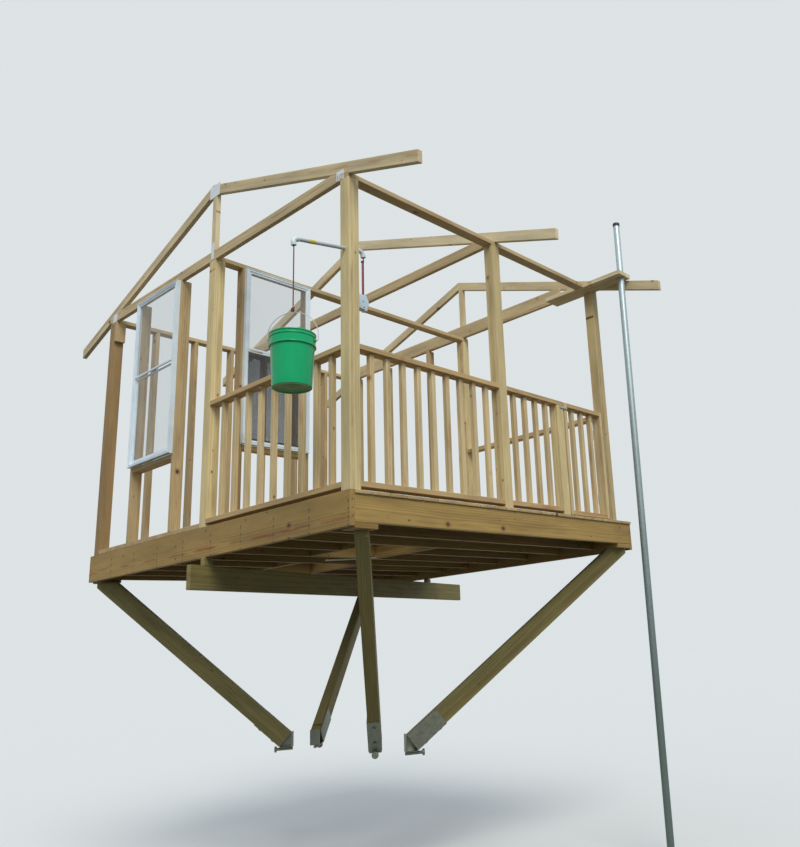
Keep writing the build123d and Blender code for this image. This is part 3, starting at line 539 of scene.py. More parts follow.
# Rafters
# Three pairs of rafters meet at the ridge with nothing on them, the outer two held by short
# king studs. Thin punched steel plates tie them on the left side.

rafter_wood = softwood(
    "rafter_lumber", pale=(0.76, 0.65, 0.42, 1), dark=(0.57, 0.46, 0.27, 1), wear_and_shade=(0.84, 0.80, 0.74, 1)
)
for node in ("rafters_front", "rafters_back", "king_studs"):
    timbers(node, rafter_wood)


# Tie plates
# Punched plates of thin zinc coated sheet, nailed over the joints of the left rafters, their
# king stud and the plate. The one at the front post is a tie with four legs.

tie_zinc = galvanised(
    "tie_zinc", pale=(0.78, 0.80, 0.82, 1), dark=(0.56, 0.60, 0.63, 1), spangle=140.0
)
tie_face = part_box("tie_plates")[0].x
plate_gauge = 0.002
nail_hole = 0.0022
hole_inset = 0.012


def nail_hole_at(across, up, sides=8):
    """A round hole in a plate, as its outline."""
    angles = [2 * math.pi * side / sides for side in range(sides)]
    return [(across + nail_hole * math.cos(angle), up + nail_hole * math.sin(angle)) for angle in angles]


def stamped(outline, holes, thickness):
    """A flat plate cut out of sheet, its outline and holes given across and up."""
    curve = bpy.data.curves.new("stamping", "CURVE")
    curve.dimensions = "2D"
    curve.fill_mode = "BOTH"
    curve.extrude = thickness / 2
    for loop in [outline] + holes:
        spline = curve.splines.new("POLY")
        spline.points.add(len(loop) - 1)
        for point, place in zip(spline.points, loop):
            point.co = (*place, 0, 1)
        spline.use_cyclic_u = True
    blank = bpy.data.objects.new("stamping", curve)
    mesh = bpy.data.meshes.new_from_object(blank)
    bpy.data.objects.remove(blank)
    return mesh


def punched_plate(width, height, columns, rows):
    """A rectangle with rows of nail holes."""
    outline = [(0, 0), (width, 0), (width, height), (0, height)]
    holes = []
    for column in range(columns):
        across = hole_inset + (width - 2 * hole_inset) * column / (columns - 1)
        for row in range(rows):
            up = hole_inset + (height - 2 * hole_inset) * row / (rows - 1)
            holes.append(nail_hole_at(across, up))
    return stamped(outline, holes, plate_gauge)


def four_legs(width, height):
    """Four legs as wide as the gaps between them, every other one shorter, under one band."""
    band = 0.62 * height
    leg = width / 7
    outline = [(0, height)]
    for index in range(4):
        left = index * 2 * leg
        foot = 0.10 * height * (index % 2)
        if index > 0:
            outline.append((left, band))
        outline += [(left, foot), (left + leg, foot)]
        if index < 3:
            outline.append((left + leg, band))
    outline.append((width, height))
    holes = [nail_hole_at(width * part, height * 0.82) for part in (0.15, 0.4, 0.65, 0.88)]
    return stamped(outline, holes, plate_gauge)


def on_left_face(name, mesh, front, foot):
    """Stand a stamped plate on the left face, from its front edge back and from its foot up."""
    middle = tie_face + plate_gauge / 2
    mesh.transform(Matrix(((0, 0, 1, middle), (1, 0, 0, front), (0, 1, 0, foot), (0, 0, 0, 1))))
    mesh.materials.clear()
    piece = show(name, mesh, tie_zinc, "frame")
    return piece


ridge_y = -0.380
tie_size = 0.080
tie_foot = 2.635
peak_plate = on_left_face("peak_plate", punched_plate(0.155, 0.115, 7, 5), ridge_y - 0.1085, foot=3.237)
stands_for(peak_plate, "tie_plates")
on_left_face("king_strap", punched_plate(0.044, 0.150, 2, 7), ridge_y - 0.054, foot=2.651)
on_left_face("back_tie", punched_plate(tie_size, tie_size, 4, 4), front=1.339, foot=tie_foot)
on_left_face("front_tie", four_legs(tie_size, tie_size), front=-2.176, foot=tie_foot)


# Railings and gate
# Each railing is two flat rails with square balusters nailed between them, and the gate is a
# small frame of the same lumber on two butt hinges.

rail_wood = softwood(
    "rail_lumber", pale=(0.70, 0.57, 0.33, 1), dark=(0.49, 0.375, 0.19, 1), wear_and_shade=(0.80, 0.68, 0.54, 1)
)
rail_thickness = 0.038
baluster_side = 0.038
post_side = 0.089
sanded_corner = 0.003
hinge_edge = 0.0005


def cut_boards(corners, ease=sanded_corner):
    """Boards as separate boxes with eased corners, each between two corners."""
    work = bmesh.new()
    for low, high in corners:
        size = Vector(high) - Vector(low)
        middle = (Vector(high) + Vector(low)) / 2
        matrix = Matrix.Translation(middle) @ Matrix.Diagonal((*size, 1))
        bmesh.ops.create_cube(work, size=1.0, matrix=matrix)
    bmesh.ops.bevel(work, geom=work.edges[:], offset=ease, segments=2, profile=0.5, affect="EDGES")
    return work


def between(low, high, axis, start, end):
    """The same box, cut to a stretch along one axis."""
    near = Vector(low)
    far = Vector(high)
    near[axis] = start
    far[axis] = end
    return near, far


def balusters(low, high, axis, start, end, count):
    """Upright square bars with equal gaps, on the middle line of the rails."""
    gap = (end - start - count * baluster_side) / (count + 1)
    side = 1 - axis
    middle = (low[side] + high[side]) / 2
    near, far = between(low, high, side, middle - baluster_side / 2, middle + baluster_side / 2)
    near.z = low.z + rail_thickness
    far.z = high.z - rail_thickness
    bars = []
    for index in range(count):
        first = start + gap + index * (gap + baluster_side)
        bars.append(between(near, far, axis, first, first + baluster_side))
    return bars


def rail_tone(centre):
    """The rails are browner than the bars between them, which differ from place to place."""
    low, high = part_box("railing_front")
    near_a_rail = 0.05
    brown_rail = 0.9
    brownest_bar = 0.45
    if centre.z > high.z - near_a_rail or centre.z < low.z + near_a_rail:
        return brown_rail
    return (centre.x * 7.3 + centre.y * 5.1) % 1.0 * brownest_bar


def railing(node, axis, count, past_the_end=0.0):
    """A top rail, a bottom rail and the bars between them, with a screw down over each bar."""
    low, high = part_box(node)
    start = low[axis]
    end = high[axis] - past_the_end
    top = between(low, high, 2, high.z - rail_thickness, high.z)
    bottom = between(*between(low, high, 2, low.z, low.z + rail_thickness), axis, start, end)
    bars = balusters(low, high, axis, start, end, count)
    piece = show_boards(node + "_boards", cut_boards([top, bottom] + bars), rail_wood, "frame", rail_tone)
    stands_for(piece, node)
    return screws_over(bars, high.z)


def screws_over(bars, top):
    """A screw down through the top rail into each bar."""
    middles = [(near + far) / 2 for near, far in bars]
    return [((middle.x, middle.y, top), (0, 0, 1)) for middle in middles]


def gate_boards():
    """Two stiles with the rails and bars between them, screwed like the railings."""
    low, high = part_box("gate")
    stiles = [
        between(low, high, 0, low.x, low.x + rail_thickness),
        between(low, high, 0, high.x - rail_thickness, high.x),
    ]
    start = low.x + rail_thickness
    end = high.x - rail_thickness
    inner = between(low, high, 0, start, end)
    rails = [
        between(*inner, 2, low.z, low.z + rail_thickness),
        between(*inner, 2, high.z - rail_thickness, high.z),
    ]
    bars = balusters(low, high, 0, start, end, count=3)
    piece = show_boards("gate_boards", cut_boards(stiles + rails + bars), rail_wood, "gate", rail_tone)
    stands_for(piece, "gate")
    return screws_over(bars, high.z)


rail_screws = railing("railing_front", axis=0, count=9)
rail_screws += railing("railing_short", axis=0, count=4, past_the_end=post_side)
rail_screws += railing("railing_side", axis=1, count=9)
nail_heads("rail_screws", rail_screws, screw_radius)
nail_heads("gate_screws", gate_boards(), screw_radius, body="gate")
timbers("rail_right", rail_wood, ease=sanded_corner)
for node in ("gate_hinge_leaves", "post_hinge_leaves", "latch"):
    eased_piece(node, zinc, hinge_edge)


# Windows
# Two white sliding windows with a casing, two sashes and clear panes. The one in the inner
# wall has a dark insect screen over its lower half.

def moulded(name, colour, roughness=0.4, mottle=0.06):
    """A moulded or painted surface, with faint dirt."""
    finish = Finish(name, roughness=roughness)
    place = finish.add("TexCoord").outputs["Object"]
    cloud = finish.noise(place, 5.0, 5.0)
    dirty = tuple(part * (1 - mottle * 3) for part in colour[:3]) + (1,)
    patches = finish.rescale(cloud, 0.4, 0.75)
    finish.feed(finish.shader.inputs["Base Color"], finish.mix(patches, colour, dirty))
    finish.bump(finish.noise(place, 220.0, 2.0), 0.08, 0.0004)
    return finish.material


def pane_glass():
    """Clear thin panes that the camera sees through, with their faint waves."""
    finish = Finish("window_pane", roughness=0.03)
    place = finish.add("TexCoord").outputs["Object"]
    finish.shader.inputs["Base Color"].default_value = (0.40, 0.44, 0.45, 1)
    finish.shader.inputs["Alpha"].default_value = 0.16
    finish.bump(finish.noise(place, 2.0, 1.0), 0.02, 0.001)
    return finish.material


white = moulded("white_frame", (0.73, 0.83, 0.90, 1))
glass = pane_glass()
sill_nose = 0.040
casing_width = 0.028
casing_foot = 0.026
meeting_height = 0.815


def wall_axes(side):
    """The axis out through a window, and the one along its wall."""
    return (0, 1) if side == "left" else (1, 0)


def face_box(side, across, deep, high):
    """A box on a window: spans along the wall, inward from the face, and up from its foot."""
    out, along = wall_axes(side)
    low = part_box(f"{side}_window_frame")[0]
    face = low[out] + sill_nose
    near = Vector()
    far = Vector()
    near[along], far[along] = low[along] + across[0], low[along] + across[1]
    near[out], far[out] = face + deep[0], face + deep[1]
    near.z, far.z = low.z + high[0], low.z + high[1]
    return near, far


def bars_round(side, across, high, widths, deep):
    """Four bars round an opening, with the widths of the left, right, lower and upper one."""
    left, right, foot, head = widths
    inner = (across[0] + left, across[1] - right)
    return [
        face_box(side, (across[0], inner[0]), deep, high),
        face_box(side, (inner[1], across[1]), deep, high),
        face_box(side, inner, deep, (high[0], high[0] + foot)),
        face_box(side, inner, deep, (high[1] - head, high[1])),
    ]


def moulding(name, corners, material, ease=0.001):
    """Moulded bars or small parts, given as boxes."""
    piece = show(name, finished_mesh(cut_boards(corners, ease), name), material, "frame")
    return piece


def casing(side, width, tall):
    """A frame screwed on over the studs, with two low beads round it and a drip edge below."""
    whole = (0, width)
    widths = (casing_width, casing_width, casing_foot, casing_width)
    bead = 0.006
    fine_bead = 0.005
    inset = 0.018
    bars = bars_round(side, whole, (0, tall), widths, deep=(0.002, 0.036))
    bars += bars_round(side, whole, (0, tall), (bead,) * 4, deep=(-0.002, 0.003))
    inner = (inset, width - inset)
    bars += bars_round(side, inner, (inset, tall - inset), (fine_bead,) * 4, deep=(-0.001, 0.003))
    bars.append(face_box(side, whole, deep=(-0.006, 0.003), high=(0.0, 0.008)))
    return bars


def sashes(side, width, tall):
    """The outer upper sash and the inner lower one, with a lock where they meet and a lift."""
    opening = (casing_width, width - casing_width)
    above = (meeting_height + 0.006, tall - casing_width)
    upper_widths = (0.014, 0.014, 0.016, 0.014)
    upper = bars_round(side, opening, above, upper_widths, deep=(0.005, 0.017))
    below = (casing_foot, meeting_height)
    lower_widths = (0.018, 0.018, 0.034, 0.016)
    lower = bars_round(side, opening, below, lower_widths, deep=(0.0245, 0.0355))
    middle = width / 2
    lock_half = 0.03
    lift_half = 0.12
    lock_span = (middle - lock_half, middle + lock_half)
    lift_span = (middle - lift_half, middle + lift_half)
    lock = face_box(side, lock_span, deep=(0.019, 0.035), high=(meeting_height, meeting_height + 0.010))
    lift = face_box(side, lift_span, deep=(0.035, 0.043), high=(0.032, 0.040))
    return upper + lower + [lock, lift]


def pane_boxes(side, width, tall):
    """The two panes, let a little way into their sashes."""
    upper_edge = 0.040
    lower_edge = 0.044
    above = (meeting_height + 0.020, tall - upper_edge)
    below = (0.058, meeting_height - 0.014)
    return [
        face_box(side, (upper_edge, width - upper_edge), deep=(0.010, 0.013), high=above),
        face_box(side, (lower_edge, width - lower_edge), deep=(0.028, 0.031), high=below),
    ]


def window(side):
    """One window: its casing, sashes and panes."""
    along = wall_axes(side)[1]
    low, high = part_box(f"{side}_window_frame")
    width = high[along] - low[along]
    tall = high.z - low.z
    frame_piece = moulding(f"{side}_window_casing", casing(side, width, tall), white, ease=0.0008)
    stands_for(frame_piece, f"{side}_window_frame")
    slides = moulding(f"{side}_window_slides", sashes(side, width, tall), white)
    stands_for(slides, f"{side}_window_sashes")
    panes = moulding(f"{side}_window_panes", pane_boxes(side, width, tall), glass, ease=0.0003)
    stands_for(panes, f"{side}_window_glass")


for side in ("left", "inner"):
    window(side)


thread_pitch = 0.0016
screen_edge = 0.012


def woven_screen():
    """Dark threads, each way, with square openings between them."""
    finish = Finish("insect_screen", roughness=0.8)
    finish.shader.inputs["Base Color"].default_value = (0.05, 0.055, 0.06, 1)
    place = finish.add("TexCoord").outputs["Object"]
    split = finish.add("SeparateXYZ", {"Vector": place})
    threads = []
    for axis in ("X", "Z"):
        wave = finish.calculate("SINE", finish.times(split.outputs[axis], 2 * math.pi / thread_pitch))
        threads.append(finish.calculate("GREATER_THAN", wave, 0.35))
    woven = finish.calculate("MAXIMUM", *threads)
    finish.feed(finish.shader.inputs["Alpha"], finish.rescale(woven, 0, 1, 0.12, 1.0))
    return finish.material


def screen_rim():
    """Four flat strips round the screen, a millimetre proud of it on both faces."""
    low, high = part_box("window_screen")
    proud = Vector((0, 0.001, 0))
    strips = []
    for axis in (2, 0):
        strips.append(between(low - proud, high + proud, axis, low[axis], low[axis] + screen_edge))
        strips.append(between(low - proud, high + proud, axis, high[axis] - screen_edge, high[axis]))
    return strips


frame["nodes"]["window_screen"].data.materials.clear()
frame["nodes"]["window_screen"].data.materials.append(woven_screen())
moulding("screen_rim", screen_rim(), white)


# Pole
# A galvanised steel tube stands in front of the porch's right corner, steadied by a board on
# the top plate, with a black plastic cap pressed over its top.

tube_edge = 0.0005
cap_edge = 0.002
pole_low, pole_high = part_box("pole")
# The pole's zinc carries painted shade, darkest from 1.2 m above its foot down and none near its top.
shade_darkest_below = pole_low.z + 1.2
shade_free_above = pole_high.z - 0.2
pole_zinc = galvanised(
    "pole_zinc", pale=(0.55, 0.65, 0.69, 1), dark=(0.34, 0.42, 0.45, 1), spangle=90.0,
    painted_shade_span=(shade_darkest_below, shade_free_above),
)
pole_zinc.node_tree.nodes["Principled BSDF"].inputs["Metallic"].default_value = 0.6
eased_piece("pole", pole_zinc, tube_edge, smooth=True)
black = moulded("black_cap", (0.02, 0.02, 0.022, 1), roughness=0.5)
eased_piece("pole_cap", black, cap_edge, smooth=True)
timbers("pole_board", rafter_wood)


# Hoist
# A pipe through the front left post carries the rope, with a white elbow cemented on each
# end and a band of yellow tape. The spare rope is kept in a flat reel screwed to the post.

pipe_grey = moulded("hoist_pipe", (0.50, 0.58, 0.62, 1), roughness=0.35)
eased_piece("hoist_pipe", pipe_grey, tube_edge, smooth=True)
white_plastic = moulded("white_plastic", (0.70, 0.80, 0.82, 1), roughness=0.3)
hoist_y = -2.1805
left_corner = Vector((-1.8415, hoist_y, 2.0159))
right_corner = Vector((-1.2755, hoist_y, 2.1178))
pipe_line = (right_corner - left_corner).normalized()
mouth_line = Vector((pipe_line.z, 0, -pipe_line.x))
elbow_bend = 0.030
elbow_leg = 0.018
bend_radius = 0.0165
hub_radius = 0.0184
hub_back = 0.013
hub_front = 0.004
hub_chamfer = 0.001
mouth_bore = 0.0130
bore_foot = 0.0125
bore_depth = 0.020


def ring_to_ring(work, rings):
    """Skin one ring of vertices after the other, and close both ends."""
    sides = len(rings[0])
    for first, second in zip(rings, rings[1:]):
        for corner in range(sides):
            after = (corner + 1) % sides
            work.faces.new((first[corner], first[after], second[after], second[corner]))
    work.faces.new(rings[0][::-1])
    work.faces.new(rings[-1])


def sleeve(work, stations, sides=24):
    """A round skin through stations, each a point, the way the line runs there and a radius."""
    rings = []
    up = None
    for point, heading, radius in stations:
        up = heading.orthogonal() if up is None else up
        up = (up - heading * up.dot(heading)).normalized()
        side = heading.cross(up)
        ring = []
        for corner in range(sides):
            angle = 2 * math.pi * corner / sides
            ring.append(work.verts.new(point + (up * math.cos(angle) + side * math.sin(angle)) * radius))
        rings.append(ring)
    ring_to_ring(work, rings)


def elbow_stations(corner, outward):
    """From the socket on the pipe, round the bend, and to the open mouth."""
    start = corner - outward * elbow_bend
    end = corner + mouth_line * elbow_bend
    centre = start + mouth_line * elbow_bend
    mouth = end + mouth_line * elbow_leg
    stations = [
        (start - outward * hub_back, outward, hub_radius - hub_chamfer),
        (start - outward * (hub_back - hub_chamfer), outward, hub_radius),
        (start + outward * (hub_front - hub_chamfer), outward, hub_radius),
        (start + outward * hub_front, outward, bend_radius),
    ]
    for degrees in range(11, 75, 9):
        angle = math.radians(degrees)
        place = centre + (outward * math.sin(angle) - mouth_line * math.cos(angle)) * elbow_bend
        heading = outward * math.cos(angle) + mouth_line * math.sin(angle)
        stations.append((place, heading, bend_radius))
    stations += [
        (end - mouth_line * hub_front, mouth_line, bend_radius),
        (end - mouth_line * (hub_front - hub_chamfer), mouth_line, hub_radius),
        (mouth - mouth_line * hub_chamfer, mouth_line, hub_radius),
        (mouth, mouth_line, hub_radius - hub_chamfer),
        (mouth, mouth_line, mouth_bore),
        (mouth - mouth_line * bore_depth, mouth_line, bore_foot),
    ]
    return stations


work = bmesh.new()
sleeve(work, elbow_stations(left_corner, -pipe_line))
sleeve(work, elbow_stations(right_corner, pipe_line))
mesh = finished_mesh(work, "hoist_elbows_cemented")
stands_for(show("hoist_elbows_cemented", mesh, white_plastic, "frame", smooth=True), "hoist_elbows")

yellow = moulded("yellow_tape", (0.62, 0.55, 0.04, 1), roughness=0.5)
tape_start = left_corner + pipe_line * 0.125
tape_width = 0.050
pipe_skin = 0.0136
tape_skin = 0.0144
tape_overlap = 0.0147


def tape_stations():
    """Two turns of tape, the first lapped a little by the second."""
    end = tape_start + pipe_line * tape_width
    lap = tape_start + pipe_line * (tape_width / 2)
    return [
        (tape_start, pipe_line, pipe_skin),
        (tape_start, pipe_line, tape_skin),
        (lap - pipe_line * 0.001, pipe_line, tape_overlap),
        (lap, pipe_line, tape_skin - 0.0001),
        (end, pipe_line, tape_skin),
        (end, pipe_line, pipe_skin),
    ]


work = bmesh.new()
sleeve(work, tape_stations())
tape = show("tape_band", finished_mesh(work, "tape_band"), yellow, "frame", smooth=True)

reel_plastic = moulded("reel_plastic", (0.56, 0.70, 0.78, 1), roughness=0.3)
reel_corner = 0.004
eased_piece("reel", reel_plastic, reel_corner, smooth=True, segments=3)
reel_low, reel_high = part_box("reel")
reel_screws = [
    ((reel_low.x + 0.056, reel_low.y, reel_high.z - 0.050), (0, -1, 0)),
    ((reel_low.x + 0.060, reel_low.y, reel_low.z + 0.022), (0, -1, 0)),
]
nail_heads("reel_screws", reel_screws, radius=0.006)


# Bucket
# A moulded green pail, thin and tapered, with a rolled rim, a collar between two rings, a
# recessed bottom and a lug on each side. It hangs by a wire bail whose ends turn in the lugs.

green = moulded("green_plastic", (0.0, 0.42, 0.155, 1), roughness=0.15)
green.node_tree.nodes["Principled BSDF"].inputs["Specular IOR Level"].default_value = 0.3
bucket_low, bucket_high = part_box("bucket")
bucket_axis = Vector((-1.833, hoist_y, bucket_low.z))
bucket_height = bucket_high.z - bucket_low.z
ear_turn = math.radians(-51.7)
ear_line = Vector((math.cos(ear_turn), math.sin(ear_turn), 0))
ear_height = bucket_height - 0.045
foot_radius = 0.122
side_taper = 0.017
collar = 0.1405
ring_edge = 0.1440
ring_face = 0.1448


def pail_side(height):
    """The outer radius of the side at a height above the foot."""
    return foot_radius + side_taper * height / bucket_height


def lathe(work, profile, segments=96):
    """Turn a profile of radii and heights about the bucket's axis."""
    rings = []
    for radius, height in profile:
        ring = []
        for segment in range(segments):
            angle = 2 * math.pi * segment / segments
            spoke = Vector((radius * math.cos(angle), radius * math.sin(angle), height))
            ring.append(work.verts.new(bucket_axis + spoke))
        rings.append(ring)
    ring_to_ring(work, rings)


def raised_ring(foot):
    """A ring 7 mm high that stands out round the pail, with softened corners."""
    return [
        (ring_edge, foot),
        (ring_face, foot + 0.0015),
        (ring_face, foot + 0.0055),
        (ring_edge, foot + 0.007),
        (collar, foot + 0.0085),
    ]


def pail_profile():
    """From the middle of the bottom, up the outside, over the rim and down the inside."""
    low_ring = bucket_height - 0.086
    high_ring = bucket_height - 0.029
    skin = 0.003
    bottom = [
        (0.012, 0.003), (0.013, 0.005), (0.060, 0.005), (0.061, 0.0035), (0.063, 0.0035), (0.064, 0.005),
        (0.108, 0.005), (0.111, 0.004), (0.112, 0.0005), (0.1135, 0.0), (0.1195, 0.0), (0.1215, 0.001),
    ]
    side_heights = (0.004, 0.040, 0.042, 0.10, 0.18, low_ring - 0.004)
    outside = [(pail_side(height), height) for height in side_heights]
    band = [(0.1400, low_ring - 0.001)] + raised_ring(low_ring)
    band += [(collar, low_ring + 0.030), (collar, high_ring - 0.0015)] + raised_ring(high_ring)
    rim = [
        (collar + 0.0005, bucket_height - 0.0085), (0.1438, bucket_height - 0.007),
        (0.1449, bucket_height - 0.005), (0.1449, bucket_height - 0.002), (0.1435, bucket_height),
        (0.1390, bucket_height), (0.1372, bucket_height - 0.002),
    ]
    inside = [
        (0.1362, bucket_height - 0.010), (pail_side(0.20) - skin, 0.20), (pail_side(0.02) - skin, 0.02),
        (0.116, 0.009), (0.100, 0.0085), (0.010, 0.0085),
    ]
    return bottom + outside + band + rim + inside


def lug(work, side):
    """A round boss on the collar with a hole in its face, where the bail's end turns."""
    heading = ear_line * side
    root = bucket_axis + Vector((0, 0, ear_height)) + heading * 0.1370
    boss_radius = 0.0118
    boss_length = 0.0125
    hole_radius = 0.0032
    sleeve(work, [
        (root, heading, boss_radius),
        (root + heading * (boss_length - 0.003), heading, boss_radius),
        (root + heading * boss_length, heading, boss_radius - 0.0013),
        (root + heading * boss_length, heading, hole_radius),
        (root + heading * (boss_length - 0.0025), heading, hole_radius - 0.0002),
    ], sides=28)


work = bmesh.new()
lathe(work, pail_profile())
lug(work, 1)
lug(work, -1)
pail = show("moulded_pail", finished_mesh(work, "moulded_pail"), green, "bucket", smooth=True)
stands_for(pail, "bucket")

wire = galvanised("bail_wire", pale=(0.55, 0.55, 0.55, 1), dark=(0.35, 0.35, 0.36, 1))
bail_radius = 0.162
bail_leg = 0.041
wire_radius = 0.0025


def stations_along(points, radius):
    """Stations of one radius through points, each headed from the last point to the next."""
    stations = []
    for index, point in enumerate(points):
        ahead = points[min(index + 1, len(points) - 1)]
        behind = points[max(index - 1, 0)]
        stations.append((point, (ahead - behind).normalized(), radius))
    return stations


def bail_points():
    """In at one lug, up the leg, over the half circle and in at the other lug."""
    ear = bucket_axis + Vector((0, 0, ear_height))
    bent_end = [(0.1385, 0.0), (0.1560, 0.0), (0.1600, 0.0008), (0.1616, 0.0030), (bail_radius, 0.0070)]
    half = bent_end + [(bail_radius, bail_leg)]
    quarter_steps = 24
    for step in range(1, quarter_steps):
        angle = math.pi / 2 * step / quarter_steps
        half.append((bail_radius * math.cos(angle), bail_leg + bail_radius * math.sin(angle)))
    top = [(0.0, bail_leg + bail_radius)]
    line = half + top + [(-across, up) for across, up in half[::-1]]
    return [ear + ear_line * across + Vector((0, 0, up)) for across, up in line]


work = bmesh.new()
sleeve(work, stations_along(bail_points(), wire_radius), sides=10)
bail = show("bent_bail", finished_mesh(work, "bent_bail"), wire, body_of_node("bail"), smooth=True)
stands_for(bail, "bail")


# Rope
# A dark red braided cord about 8 mm thick. It rises from the reel, turns through the two
# elbows and the pipe, and hangs straight down to a knot on the bucket's bail.

rope_diameter = 0.008


def red_cord():
    """Two sets of strands that cross over each other round the cord."""
    finish = Finish("red_cord", roughness=0.8)
    place = finish.add("TexCoord").outputs["Object"]
    radians_per_metre = 900.0
    fleck = finish.noise(place, 320.0, 2.0)
    split = finish.add("SeparateXYZ", {"Vector": place})
    around = finish.plus(split.outputs["X"], split.outputs["Y"])
    rise = finish.times(split.outputs["Z"], radians_per_metre)
    turn = finish.times(around, radians_per_metre)
    one = finish.calculate("SINE", finish.plus(rise, turn))
    other = finish.calculate("SINE", finish.calculate("SUBTRACT", rise, turn))
    weave = finish.rescale(finish.times(one, other), -1, 1)
    strands = finish.plus(finish.times(weave, 0.6), finish.times(fleck, 0.4))
    dark = (0.15, 0.020, 0.022, 1)
    bright = (0.34, 0.050, 0.050, 1)
    finish.feed(finish.shader.inputs["Base Color"], finish.mix(strands, dark, bright))
    finish.bump(strands, 0.6, 0.0012)
    return finish.material


cord_finish = red_cord()


def smooth_cord(name, points):
    """A cord as one smooth curve that is led by its route's points."""
    curve = bpy.data.curves.new(name, "CURVE")
    curve.dimensions = "3D"
    curve.bevel_depth = rope_diameter / 2
    curve.bevel_resolution = 4
    curve.resolution_u = 16
    curve.use_fill_caps = True
    spline = curve.splines.new("NURBS")
    spline.points.add(len(points) - 1)
    for point, place in zip(spline.points, points):
        point.co = (*place, 1)
    spline.order_u = 3
    spline.use_endpoint_u = True
    curve.materials.append(cord_finish)
    piece = bpy.data.objects.new(name, curve)
    bpy.context.scene.collection.objects.link(piece)
    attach(piece, "frame")
    return piece


reel_mouth = (-1.2670, hoist_y, 1.7770)
rope_route = [
    reel_mouth,
    (-1.2670, hoist_y, 2.0226),
    (-1.2670, hoist_y, 2.0706),
    (-1.2755, hoist_y, 2.1178),
    (-1.3227, hoist_y, 2.1093),
    (-1.7943, hoist_y, 2.0244),
    (-1.8415, hoist_y, 2.0159),
    (-1.8330, hoist_y, 1.9687),
    (-1.8330, hoist_y, 1.9207),
    (-1.8330, hoist_y, 1.5435),
]
hoist_rope = smooth_cord("hoist_rope", rope_route)
stands_for(hoist_rope, "rope")
tail_mouth = (-1.2780, hoist_y, 1.7770)
tail_route = [
    tail_mouth,
    (-1.2780, hoist_y, 1.8600),
    (-1.2780, hoist_y, 1.9450),
    (-1.2780, hoist_y, 2.0286),
]
tail_rope = smooth_cord("tail_rope", tail_route)
stands_for(tail_rope, "rope_tail")


# Knots
# The rope's end is tied round the bail in an overhand knot with a short tail, and the spare
# end is tied to the rope the same way under the right elbow.

knot_strand = 0.0036
knot_width = 0.027
bail_knot_height = 0.047
tail_knot_height = 0.023


def overhand(work, middle, height):
    """An overhand knot pulled tight: three loops round each other, drawn out from top to foot."""
    steps = 56
    reach = knot_width / 2 - knot_strand
    points = []
    for step in range(steps + 1):
        angle = 2 * math.pi * step / steps + math.radians(30)
        across = (math.sin(angle) + 2 * math.sin(2 * angle)) / 3
        back = (math.cos(angle) - 2 * math.cos(2 * angle)) / 3
        rise = 0.38 * math.cos(angle / 2) - 0.62 * math.sin(3 * angle)
        points.append(middle + Vector((across * reach, back * reach, rise * (height / 2 - knot_strand))))
    sleeve(work, stations_along(points, knot_strand), sides=12)


work = bmesh.new()
overhand(work, Vector((-1.8330, hoist_y, 1.5200)), bail_knot_height)
overhand(work, Vector((-1.2725, hoist_y, 2.0406)), tail_knot_height)
knots = show("tied_knots", finished_mesh(work, "tied_knots"), cord_finish, "frame", smooth=True)
stands_for(knots, "knots")


# Light, floor and camera
# A wide pale floor lies level with the pole's foot, a broad soft light stands over the front
# left, and the camera has the photograph's place, angle and frame.

pole_foot_below_deck = 2.743
floor_height = deck_top - pole_foot_below_deck
floor_size = 120
bpy.ops.mesh.primitive_grid_add(
    size=floor_size, x_subdivisions=2, y_subdivisions=2, location=(0, 0, floor_height)
)
floor = bpy.context.object
floor.name = "floor"
floor_finish = Finish("pale_floor", roughness=0.9)


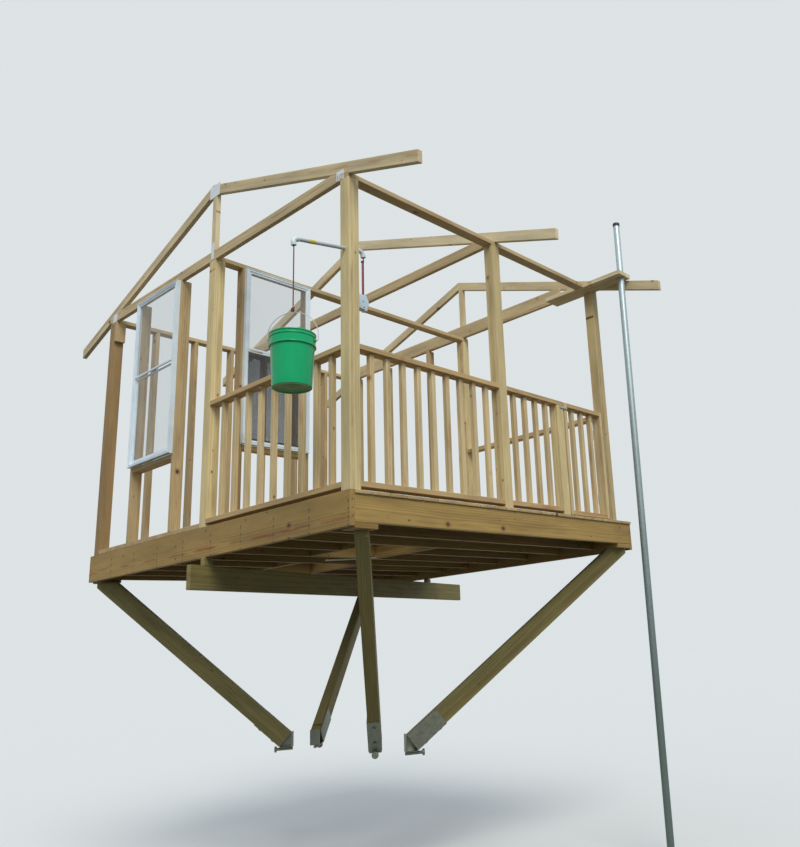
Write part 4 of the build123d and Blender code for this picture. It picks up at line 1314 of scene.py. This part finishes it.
def seen_or_lit(tree):
    """1 where the camera, a reflection or a pane sees it, and 0 where it lights the object."""
    path = tree.nodes.new("ShaderNodeLightPath")
    seen = path.outputs["Is Camera Ray"]
    for ray in ("Is Glossy Ray", "Is Transmission Ray"):
        either = tree.nodes.new("ShaderNodeMath")
        either.operation = "MAXIMUM"
        tree.links.new(seen, either.inputs[0])
        tree.links.new(path.outputs[ray], either.inputs[1])
        seen = either.outputs[0]
    return seen


floor_seen = (0.66, 0.68, 0.68, 1)
floor_bounce = (0.035, 0.038, 0.03, 1)
floor_colour = floor_finish.mix(seen_or_lit(floor_finish.tree), floor_bounce, floor_seen)
floor_finish.feed(floor_finish.shader.inputs["Base Color"], floor_colour)
floor.data.materials.append(floor_finish.material)

world = bpy.data.worlds.new("studio")
bpy.context.scene.world = world
world.use_nodes = True
world_tree = world.node_tree
sky_light = world_tree.nodes["Background"]
sky_light.inputs["Color"].default_value = (0.84, 0.92, 1.0, 1)
sky_light.inputs["Strength"].default_value = 0.72
backdrop = world_tree.nodes.new("ShaderNodeBackground")
backdrop.inputs["Color"].default_value = (0.725, 0.770, 0.782, 1)
backdrop.inputs["Strength"].default_value = 1.0
chooser = world_tree.nodes.new("ShaderNodeMixShader")
world_tree.links.new(seen_or_lit(world_tree), chooser.inputs["Fac"])
world_tree.links.new(sky_light.outputs[0], chooser.inputs[1])
world_tree.links.new(backdrop.outputs[0], chooser.inputs[2])
world_tree.links.new(chooser.outputs[0], world_tree.nodes["World Output"].inputs["Surface"])

lamp = bpy.data.lights.new("soft_key", "SUN")
lamp.energy = 2.1
lamp.angle = math.radians(30)
lamp.color = (1.0, 0.96, 0.88)
key = bpy.data.objects.new("soft_key", lamp)
key.rotation_euler = (math.radians(45), 0, math.radians(-33))
bpy.context.scene.collection.objects.link(key)

camera_data = bpy.data.cameras.new("camera")
camera = bpy.data.objects.new("camera", camera_data)
bpy.context.scene.collection.objects.link(camera)
camera.location = (-4.647, -6.377, -0.622)
camera_turn = (104.870, 3.857, -50.708)
camera.rotation_euler = [math.radians(angle) for angle in camera_turn]
picture_width = 800
picture_height = 847
lens_axis_across = 545.0
camera_data.sensor_width = 36
camera_data.lens = 34.640
camera_data.shift_x = (picture_width / 2 - lens_axis_across) / picture_height
camera_data.clip_end = 200
bpy.context.scene.camera = camera
bpy.context.scene.view_settings.view_transform = "Standard"
